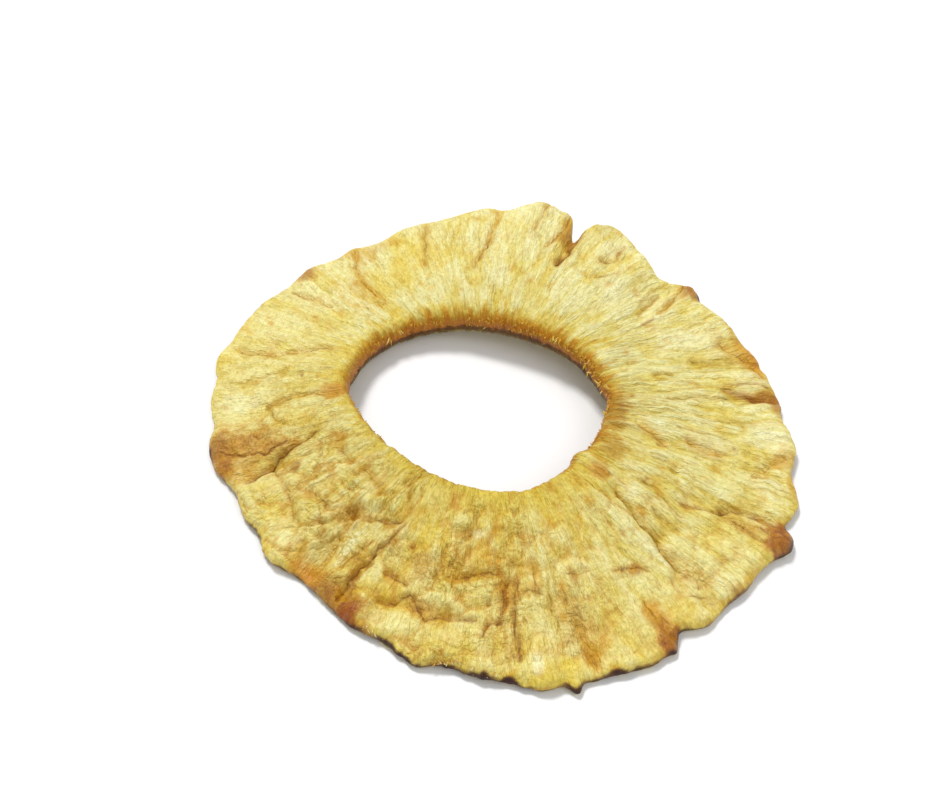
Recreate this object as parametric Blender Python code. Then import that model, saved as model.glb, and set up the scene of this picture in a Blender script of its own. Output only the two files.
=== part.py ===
"""A dried pineapple ring: one leathery slice of fruit round the hole where its core was.

The slice is a closed band carried round the middle of the hole. Its rim and its hole wander from a circle as
those of a cut and dried slice do, its far side curls up, and its top is folded, cracked and padded. It rests on
flat stretches of its underside near the rim. Lengths are in metres where a name says nothing else. Angles are
in degrees about the hole's middle, counted from +X towards +Y. "Across" runs from 0 at the hole to 1 at the rim.
"""
import math
from typing import NamedTuple

import bpy
import numpy as np

MM = 0.001
FULL_TURN = 360.0

# Driving dimensions
RIM_RADIUS = 44.5 * MM
HOLE_RADIUS = 18.0 * MM
HOLE_THICKNESS = 5.0 * MM
RIM_THICKNESS = 2.8 * MM
HOLE_TOP = 8.1 * MM
RIM_TOP = 2.3 * MM
RIM_EDGE_DEPTH = 2.4 * MM
HOLE_SHOULDER_DEPTH = 1.5 * MM
HOLE_FOOT_DEPTH = 0.9 * MM
WALL_HEIGHT_SHARE = 0.42
EDGE_POWER = 2.4
# The hole's middle, set so that the slice's box is centred on the origin
HOLE_MIDDLE = (-2.76 * MM, 2.72 * MM)

# Look of the flesh
FLESH_COLOUR = (0.72, 0.50, 0.15, 1.0)
FLESH_ROUGHNESS = 0.45

# Steps of the mesh, round the slice and across it
TURN_STEPS = 240
TOP_STEPS = 11
UNDER_SHARES = (0.98, 0.94, 0.87, 0.78, 0.64, 0.48, 0.30, 0.12, 0.03)


class Wave(NamedTuple):
    """Swells that go round the slice: their count, the angle of one of them, and their height in millimetres."""

    count: int
    turn: float
    height: float


class Lobe(NamedTuple):
    """A swell at one angle, a bite where it is negative: angle, half width in degrees, height in millimetres."""

    angle: float
    spread: float
    height: float


class Fold(NamedTuple):
    """A crease in the top from one (angle, across) to another, with its half width and depth in millimetres."""

    start: tuple
    end: tuple
    width: float
    depth: float


class Pad(NamedTuple):
    """A puffed patch of the top: its (angle, across), half length along the radius, half breadth, height in mm."""

    centre: tuple
    length: float
    breadth: float
    height: float


RIM_WAVES = (Wave(1, -38.0, 3.7), Wave(2, -37.0, 3.0), Wave(3, 57.0, 0.6))
HOLE_WAVES = (Wave(1, 117.0, 1.4), Wave(2, -27.0, 2.1), Wave(3, 25.0, 0.8))

RIM_LOBES = (
    # Far side: the torn flap with its deep slit, and the straight cut beside it
    Lobe(76.0, 5.0, 1.6),
    Lobe(60.0, 4.0, 1.5),
    Lobe(66.0, 1.3, -5.0),
    Lobe(44.8, 4.5, -2.0),
    Lobe(33.5, 1.5, -1.0),
    Lobe(115.0, 9.0, -1.1),
    Lobe(158.0, 8.0, 1.0),
    # Right side: the hard brown lump and the nick after it
    Lobe(8.0, 12.0, 0.5),
    Lobe(-17.0, 4.0, 0.8),
    Lobe(-22.5, 1.2, -0.9),
    Lobe(-26.5, 2.2, 1.7),
    # Near side: nicks and small tips left by the rind
    Lobe(-46.0, 10.0, -2.0),
    Lobe(-88.0, 40.0, -0.8),
    Lobe(-52.5, 1.5, -1.0),
    Lobe(-55.5, 0.9, 0.7),
    Lobe(-74.2, 0.8, 1.4),
    Lobe(-80.0, 3.0, 0.9),
    Lobe(-105.0, 3.0, 1.2),
    Lobe(-133.0, 3.0, -1.1),
    Lobe(-140.0, 3.0, 0.6),
    # Left side
    Lobe(-158.0, 6.0, -1.0),
    Lobe(-168.5, 2.5, 1.0),
)
HOLE_LOBES = (Lobe(4.0, 6.0, 0.8), Lobe(-36.0, 4.0, -1.0), Lobe(-70.0, 9.0, 0.6), Lobe(170.0, 6.0, 0.8))

# Heights of the top at the hole and at the rim: the far side curls up and the far left sags
HOLE_TOP_LOBES = (Lobe(132.0, 24.0, -2.4), Lobe(70.0, 30.0, 0.6), Lobe(168.0, 12.0, 0.4))
RIM_TOP_LOBES = (Lobe(72.0, 30.0, 6.6), Lobe(-95.0, 16.0, 0.3), Lobe(-150.0, 10.0, 0.5), Lobe(-12.0, 12.0, 0.3))
# The hole's shoulder is wide on its far and right side, and crisp on its near side
SHOULDER_LOBES = (Lobe(60.0, 60.0, 2.2),)

# Pleats run along the radius and deepen towards the rim
PLEAT_SEED = 11
PLEAT_COUNTS = (13, 17, 23, 29, 37)
PLEAT_HEIGHT_MM = 0.16
PLEAT_DRIFT = 1.2
# Scallops of the rim, where the segments of the fruit ended
SCALLOP_COUNTS = (19, 26, 34)
SCALLOP_HEIGHT_MM = 0.22

FOLDS = (
    # Left side
    Fold((-169.0, 0.34), (-165.0, 0.64), 1.2, 0.7),
    Fold((-165.0, 0.64), (-162.0, 0.92), 1.2, 0.7),
    Fold((-164.0, 0.69), (-147.0, 0.77), 1.3, 0.5),
    Fold((178.0, 0.59), (175.5, 0.15), 1.2, 0.5),
    Fold((160.0, 0.86), (154.0, 0.25), 1.4, 0.6),
    # Near left
    Fold((-158.0, 0.29), (-137.0, 0.48), 1.3, 0.4),
    Fold((-135.0, 0.47), (-132.0, 0.96), 1.4, 0.9),
    Fold((-120.0, 0.38), (-123.0, 0.91), 1.1, 0.6),
    Fold((-137.0, 0.49), (-120.0, 0.37), 1.1, 0.4),
    # Near side
    Fold((-115.0, 0.82), (-92.0, 0.75), 1.1, 0.5),
    Fold((-99.0, 0.55), (-85.0, 0.48), 1.1, 0.5),
    Fold((-81.5, 0.44), (-83.0, 0.88), 1.0, 0.8),
    Fold((-84.0, 0.52), (-88.0, 0.76), 1.0, 0.4),
    Fold((-68.0, 0.41), (-76.0, 0.78), 1.2, 0.5),
    Fold((-70.0, 0.72), (-70.0, 0.97), 1.1, 0.6),
    # Near right
    Fold((-40.0, 0.28), (-42.0, 0.56), 1.4, 0.8),
    Fold((-42.0, 0.56), (-45.0, 0.78), 1.4, 0.8),
    Fold((-30.0, 0.50), (-26.0, 0.67), 1.3, 0.8),
    Fold((-26.0, 0.67), (-23.5, 0.97), 1.3, 0.9),
    # Right side
    Fold((3.0, 0.35), (5.0, 0.98), 1.2, 0.4),
    Fold((19.0, 0.70), (13.0, 0.98), 1.4, 0.6),
    Fold((-9.0, 0.97), (-15.0, 0.76), 1.3, 0.5),
    # Far side
    Fold((39.0, 0.90), (36.0, 0.52), 1.2, 0.7),
    Fold((66.0, 1.00), (66.5, 0.64), 1.2, 1.1),
    Fold((55.0, 0.92), (54.0, 0.70), 1.2, 0.6),
    Fold((86.0, 0.95), (90.0, 0.45), 1.5, 0.5),
)
PADS = (
    Pad((-128.0, 0.72), 5.0, 2.2, 0.6),
    Pad((-143.0, 0.60), 5.0, 3.0, 0.4),
    Pad((-105.0, 0.64), 2.6, 4.0, 0.5),
    Pad((-75.0, 0.80), 4.0, 2.4, 0.4),
    Pad((-34.0, 0.48), 5.0, 2.6, 0.6),
    Pad((-33.0, 0.80), 4.0, 3.0, 0.5),
    Pad((-26.5, 0.97), 1.6, 1.6, 0.7),
    Pad((12.0, 0.60), 7.0, 4.0, 0.3),
    Pad((48.0, 0.72), 5.0, 3.4, 0.5),
    Pad((76.0, 0.78), 5.0, 3.0, 0.6),
    Pad((168.0, 0.50), 8.0, 3.6, 0.5),
)


def lobes(angle, shapes):
    """Sum of bell curves over the angle, in metres."""
    total = np.zeros_like(angle)
    for shape in shapes:
        off = (angle - shape.angle + FULL_TURN / 2) % FULL_TURN - FULL_TURN / 2
        total += shape.height * MM * np.exp(-0.5 * (off / shape.spread) ** 2)
    return total


def waves(angle, shapes):
    """Sum of cosine waves round the slice, in metres."""
    total = np.zeros_like(angle)
    for shape in shapes:
        total += shape.height * MM * np.cos(shape.count * np.radians(angle - shape.turn))
    return total


def scallops(angle):
    """The rim's small scallops: a few cosine waves with seeded turns, in metres."""
    draw = np.random.default_rng(PLEAT_SEED + 1)
    return waves(angle, [Wave(n, draw.uniform(0, FULL_TURN), SCALLOP_HEIGHT_MM) for n in SCALLOP_COUNTS])


def rim_radius(angle):
    """Radius of the rim at each angle."""
    return RIM_RADIUS + waves(angle, RIM_WAVES) + lobes(angle, RIM_LOBES) + scallops(angle)


def hole_radius(angle):
    """Radius of the hole at each angle."""
    return HOLE_RADIUS + waves(angle, HOLE_WAVES) + lobes(angle, HOLE_LOBES)


def plan_point(angle, across):
    """Plan position, about the hole's middle, of a point given by its angle and its share across the band."""
    radius = hole_radius(angle) + across * (rim_radius(angle) - hole_radius(angle))
    return radius * np.cos(np.radians(angle)), radius * np.sin(np.radians(angle))


def smooth_step(share):
    """Eased rise from 0 to 1: three times the square less twice the cube."""
    return share * share * (3.0 - 2.0 * share)


def pleats(angle, across):
    """Radial pleats: cosine waves whose angle drifts a little on the way out, deeper towards the rim."""
    draw = np.random.default_rng(PLEAT_SEED)
    total = np.zeros_like(angle)
    for count in PLEAT_COUNTS:
        turn = draw.uniform(0, math.tau)
        drift = draw.uniform(-PLEAT_DRIFT, PLEAT_DRIFT)
        total += np.cos(count * np.radians(angle) + turn + drift * across * math.tau)
    return PLEAT_HEIGHT_MM * MM * total * (0.35 + 0.65 * across)


def fold_depth(x, y, fold):
    """Depth of one fold: a bell curve over the distance to its line, fading at both ends."""
    start_x, start_y = (float(v[0]) for v in plan_point(np.array([fold.start[0]]), fold.start[1]))
    end_x, end_y = (float(v[0]) for v in plan_point(np.array([fold.end[0]]), fold.end[1]))
    run_x, run_y = end_x - start_x, end_y - start_y
    share = ((x - start_x) * run_x + (y - start_y) * run_y) / (run_x ** 2 + run_y ** 2)
    share = np.clip(share, 0.0, 1.0)
    gap = np.hypot(x - start_x - share * run_x, y - start_y - share * run_y)
    return fold.depth * MM * np.exp(-(gap / (fold.width * MM)) ** 2)


def pad_height(x, y, pad):
    """Height of one pad: a bell curve that is longer along the radius than over it."""
    middle_x, middle_y = (float(v[0]) for v in plan_point(np.array([pad.centre[0]]), pad.centre[1]))
    turn = math.radians(pad.centre[0])
    along = (x - middle_x) * math.cos(turn) + (y - middle_y) * math.sin(turn)
    over = (y - middle_y) * math.cos(turn) - (x - middle_x) * math.sin(turn)
    return pad.height * MM * np.exp(-(along / (pad.length * MM)) ** 2 - (over / (pad.breadth * MM)) ** 2)


def relief(angle, across):
    """Height of the top's pleats, folds and pads."""
    x, y = plan_point(angle, across)
    height = pleats(angle, across)
    for fold in FOLDS:
        height -= fold_depth(x, y, fold)
    for pad in PADS:
        height += pad_height(x, y, pad)
    return height


def smooth_top(angle, across):
    """Top of the slice without its relief: eased from the height at the hole to the height at the rim."""
    at_hole = HOLE_TOP + lobes(angle, HOLE_TOP_LOBES)
    at_rim = RIM_TOP + lobes(angle, RIM_TOP_LOBES)
    return at_hole + (at_rim - at_hole) * smooth_step(across)


def underside(angle, across):
    """Underside of the slice: one thickness under the smooth top, and never below the ground."""
    thickness = HOLE_THICKNESS + (RIM_THICKNESS - HOLE_THICKNESS) * across
    return np.maximum(smooth_top(angle, across) - thickness - 0.5 * pleats(angle, across), 0.0)


def edge_round(depth, reach):
    """Quarter of a superellipse: 0 at the edge itself, 1 from `reach` inwards."""
    share = np.clip(1.0 - depth / reach, 0.0, 1.0)
    return (1.0 - share ** EDGE_POWER) ** (1.0 / EDGE_POWER)


def section_heights(angle, across, on_top):
    """Heights of the top or of the underside, drawn together at the hole's wall and at the rim's edge."""
    low = underside(angle, across)
    high = smooth_top(angle, across) + relief(angle, across)
    wall = low + WALL_HEIGHT_SHARE * (high - low)
    width = rim_radius(angle) - hole_radius(angle)
    hole_reach = HOLE_SHOULDER_DEPTH + lobes(angle, SHOULDER_LOBES) if on_top else HOLE_FOOT_DEPTH
    rounding = edge_round(across * width, hole_reach) * edge_round((1.0 - across) * width, RIM_EDGE_DEPTH)
    return wall + ((high if on_top else low) - wall) * rounding


def ring_points():
    """All points of the slice as rows: one closed section for each step round the hole."""
    angles = np.arange(TURN_STEPS) * FULL_TURN / TURN_STEPS
    top_shares = (1.0 - np.cos(np.pi * np.arange(TOP_STEPS + 1) / TOP_STEPS)) / 2.0
    shares = np.concatenate([top_shares, UNDER_SHARES])
    angle, across = np.meshgrid(angles, shares, indexing="ij")
    x, y = plan_point(angle, across)
    z = section_heights(angle, across, True)
    z[:, TOP_STEPS + 1:] = section_heights(angle, across, False)[:, TOP_STEPS + 1:]
    return np.stack([x + HOLE_MIDDLE[0], y + HOLE_MIDDLE[1], z], axis=-1)


def ring_faces(turns, loop):
    """Quadrilaterals between neighbouring sections, closed both ways, with their fronts outwards."""
    faces = []
    for i in range(turns):
        for j in range(loop):
            near, far = i * loop, (i + 1) % turns * loop
            after = (j + 1) % loop
            faces.append((near + j, near + after, far + after, far + j))
    return faces


def flesh_material():
    """Dried flesh: golden and slightly glossy."""
    material = bpy.data.materials.new("dried_flesh")
    material.use_nodes = True
    shader = material.node_tree.nodes["Principled BSDF"]
    shader.inputs["Base Color"].default_value = FLESH_COLOUR
    shader.inputs["Roughness"].default_value = FLESH_ROUGHNESS
    shader.inputs["Metallic"].default_value = 0.0
    return material


def make_ring():
    """The whole slice as one object."""
    points = ring_points()
    turns, loop = points.shape[:2]
    mesh = bpy.data.meshes.new("pineapple_ring")
    mesh.from_pydata(points.reshape(-1, 3).tolist(), [], ring_faces(turns, loop))
    mesh.validate()
    mesh.shade_smooth()
    mesh.materials.append(flesh_material())
    ring = bpy.data.objects.new("pineapple_ring", mesh)
    bpy.context.scene.collection.objects.link(ring)
    return ring


for old in list(bpy.data.objects):
    bpy.data.objects.remove(old, do_unlink=True)
make_ring()
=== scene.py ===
"""Looks of a dried pineapple ring: its wrinkled flesh, the fibres round its hole, a pale floor and soft light.

Lengths are in metres where a name says nothing else. Angles are in degrees about the hole's middle, counted from
+X towards +Y. "Across" runs from 0 at the hole to 1 at the rim, and a spot on the slice is (angle, across).
"""
from __future__ import annotations

import logging
import math
from dataclasses import dataclass
from enum import Enum
from typing import NamedTuple

import bpy
import numpy as np
from mathutils import Euler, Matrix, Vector

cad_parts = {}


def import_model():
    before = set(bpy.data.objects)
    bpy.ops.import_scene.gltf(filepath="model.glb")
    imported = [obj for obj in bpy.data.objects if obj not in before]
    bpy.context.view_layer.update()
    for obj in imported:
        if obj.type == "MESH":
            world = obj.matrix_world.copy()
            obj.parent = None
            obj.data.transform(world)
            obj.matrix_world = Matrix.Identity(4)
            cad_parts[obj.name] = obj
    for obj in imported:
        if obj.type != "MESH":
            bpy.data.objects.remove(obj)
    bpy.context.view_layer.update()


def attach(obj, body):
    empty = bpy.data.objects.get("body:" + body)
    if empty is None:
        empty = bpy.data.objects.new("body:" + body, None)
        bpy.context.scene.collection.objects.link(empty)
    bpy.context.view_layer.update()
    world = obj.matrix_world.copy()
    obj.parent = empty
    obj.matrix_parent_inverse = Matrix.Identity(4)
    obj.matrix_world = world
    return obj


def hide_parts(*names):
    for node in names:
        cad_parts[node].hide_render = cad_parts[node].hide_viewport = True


MM = 0.001
FULL_TURN = 360.0
BILLOW_GAIN = 6.0
NODE = "pineapple_ring"

Pair = tuple[float, float]
Triple = tuple[float, float, float]
Colour = tuple[float, float, float, float]
Node = bpy.types.Node
Socket = bpy.types.NodeSocket

log = logging.getLogger("pineapple_ring")


class Tint(Enum):
    """The colours of dried flesh, as display red, green and blue from 0 to 255."""

    CREAM = (241, 237, 188)
    PALE = (237, 230, 162)
    STRAW = (232, 218, 130)
    GOLD = (230, 205, 78)
    AMBER = (210, 160, 40)
    ORANGE = (202, 126, 18)
    TAN = (206, 168, 84)
    PINK_TAN = (194, 142, 70)
    OLIVE = (188, 162, 52)
    BROWN = (156, 96, 22)
    RUST = (158, 84, 18)
    DARK = (62, 30, 6)

    def linear(self) -> np.ndarray:
        """The colour in linear light, by the display curve's power of 2.2."""
        return (np.array(self.value) / 255.0) ** 2.2


CREAM, PALE, STRAW, GOLD, AMBER, ORANGE, TAN, PINK_TAN, OLIVE, BROWN, RUST, DARK = Tint


class Wave(NamedTuple):
    """Swells that go round the slice: their count, the angle of one of them, and their height in millimetres."""

    count: int
    turn: float
    height: float


class Lobe(NamedTuple):
    """A swell at one angle, a bite where it is negative: angle, half width in degrees, height in millimetres."""

    angle: float
    spread: float
    height: float


class Fold(NamedTuple):
    """A broad crease from one spot to another, with its half width and depth in millimetres."""

    start: Pair
    end: Pair
    width: float
    depth: float


class Pad(NamedTuple):
    """A puffed patch: its spot, half length along the radius, half breadth and height in millimetres."""

    centre: Pair
    length: float
    breadth: float
    height: float


class Crease(NamedTuple):
    """A fine wrinkle through its spots: half width and depth in millimetres, and the tint that it holds."""

    spots: tuple[Pair, ...]
    width: float
    depth: float
    tint: Tint
    strength: float


class Stain(NamedTuple):
    """A tinted patch: its spot, half length along the radius and half breadth in millimetres, tint and strength."""

    centre: Pair
    length: float
    breadth: float
    tint: Tint
    strength: float


class Rind(NamedTuple):
    """A scrap of rind under the rim: its angle, half width in degrees, and how far it stands out in millimetres."""

    angle: float
    spread: float
    height: float


class Sector(NamedTuple):
    """A stretch of the way round the slice where something shows: its middle and its half width in degrees."""

    centre: float
    spread: float


class Coat(NamedTuple):
    """A tint that comes in as a value rises: its weight, and the values at which it starts and is full."""

    tint: Tint
    weight: float
    start: float
    full: float


class Weave(NamedTuple):
    """A noise in a shader: its scale on x, y and z, its octaves, and how strong the finer ones are."""

    scale: Triple
    octaves: float
    rough: float = 0.6


class Lamp(NamedTuple):
    """A square lamp: its name, its place and the length of its side in metres, and its power in watts."""

    name: str
    place: Triple
    size: float
    power: float


class Grain(NamedTuple):
    """The cell of a noise round the slice: its width in degrees, its length in millimetres, and its seed."""

    pitch: float
    length: float
    seed: int


RIM_WAVES = (Wave(1, -38.0, 3.7), Wave(2, -37.0, 3.0), Wave(3, 57.0, 0.6))
HOLE_WAVES = (Wave(1, 117.0, 1.4), Wave(2, -27.0, 2.1), Wave(3, 25.0, 0.8))
RIM_LOBES = (
    Lobe(76.0, 5.0, 1.6),
    Lobe(60.0, 4.0, 1.5),
    Lobe(66.0, 1.3, -5.0),
    Lobe(44.8, 4.5, -2.0),
    Lobe(33.5, 1.5, -1.0),
    Lobe(115.0, 9.0, -1.1),
    Lobe(158.0, 8.0, 1.0),
    Lobe(8.0, 12.0, 0.5),
    Lobe(-17.0, 4.0, 0.8),
    Lobe(-22.5, 1.2, -0.9),
    Lobe(-26.5, 2.2, 1.7),
    Lobe(-46.0, 10.0, -2.0),
    Lobe(-88.0, 40.0, -0.8),
    Lobe(-52.5, 1.5, -1.0),
    Lobe(-55.5, 0.9, 0.7),
    Lobe(-74.2, 0.8, 1.4),
    Lobe(-80.0, 3.0, 0.9),
    Lobe(-105.0, 3.0, 1.2),
    Lobe(-133.0, 3.0, -1.1),
    Lobe(-140.0, 3.0, 0.6),
    Lobe(-158.0, 6.0, -1.0),
    Lobe(-168.5, 2.5, 1.0),
)
HOLE_LOBES = (Lobe(4.0, 6.0, 0.8), Lobe(-36.0, 4.0, -1.0), Lobe(-70.0, 9.0, 0.6), Lobe(170.0, 6.0, 0.8))
HOLE_TOP_LOBES = (Lobe(132.0, 24.0, -2.4), Lobe(70.0, 30.0, 0.6), Lobe(168.0, 12.0, 0.4))
RIM_TOP_LOBES = (Lobe(72.0, 30.0, 6.6), Lobe(-95.0, 16.0, 0.3), Lobe(-150.0, 10.0, 0.5), Lobe(-12.0, 12.0, 0.3))
SHOULDER_LOBES = (Lobe(60.0, 60.0, 2.2),)

FOLDS = (
    Fold((-169.0, 0.34), (-165.0, 0.64), 1.2, 0.7),
    Fold((-165.0, 0.64), (-162.0, 0.92), 1.2, 0.7),
    Fold((-164.0, 0.69), (-147.0, 0.77), 1.3, 0.5),
    Fold((178.0, 0.59), (175.5, 0.15), 1.2, 0.5),
    Fold((160.0, 0.86), (154.0, 0.25), 1.4, 0.6),
    Fold((-158.0, 0.29), (-137.0, 0.48), 1.3, 0.4),
    Fold((-135.0, 0.47), (-132.0, 0.96), 1.4, 0.9),
    Fold((-120.0, 0.38), (-123.0, 0.91), 1.1, 0.6),
    Fold((-137.0, 0.49), (-120.0, 0.37), 1.1, 0.4),
    Fold((-115.0, 0.82), (-92.0, 0.75), 1.1, 0.5),
    Fold((-99.0, 0.55), (-85.0, 0.48), 1.1, 0.5),
    Fold((-81.5, 0.44), (-83.0, 0.88), 1.0, 0.8),
    Fold((-84.0, 0.52), (-88.0, 0.76), 1.0, 0.4),
    Fold((-68.0, 0.41), (-76.0, 0.78), 1.2, 0.5),
    Fold((-70.0, 0.72), (-70.0, 0.97), 1.1, 0.6),
    Fold((-40.0, 0.28), (-42.0, 0.56), 1.4, 0.8),
    Fold((-42.0, 0.56), (-45.0, 0.78), 1.4, 0.8),
    Fold((-30.0, 0.50), (-26.0, 0.67), 1.3, 0.8),
    Fold((-26.0, 0.67), (-23.5, 0.97), 1.3, 0.9),
    Fold((3.0, 0.35), (5.0, 0.98), 1.2, 0.4),
    Fold((19.0, 0.70), (13.0, 0.98), 1.4, 0.6),
    Fold((-9.0, 0.97), (-15.0, 0.76), 1.3, 0.5),
    Fold((39.0, 0.90), (36.0, 0.52), 1.2, 0.7),
    Fold((66.0, 1.00), (66.5, 0.64), 1.2, 1.1),
    Fold((55.0, 0.92), (54.0, 0.70), 1.2, 0.6),
    Fold((86.0, 0.95), (90.0, 0.45), 1.5, 0.5),
)
PADS = (
    Pad((-128.0, 0.72), 5.0, 2.2, 0.6),
    Pad((-143.0, 0.60), 5.0, 3.0, 0.4),
    Pad((-105.0, 0.64), 2.6, 4.0, 0.5),
    Pad((-75.0, 0.80), 4.0, 2.4, 0.4),
    Pad((-34.0, 0.48), 5.0, 2.6, 0.6),
    Pad((-33.0, 0.80), 4.0, 3.0, 0.5),
    Pad((-26.5, 0.97), 1.6, 1.6, 0.7),
    Pad((12.0, 0.60), 7.0, 4.0, 0.3),
    Pad((48.0, 0.72), 5.0, 3.4, 0.5),
    Pad((76.0, 0.78), 5.0, 3.0, 0.6),
    Pad((168.0, 0.50), 8.0, 3.6, 0.5),
)

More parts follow.
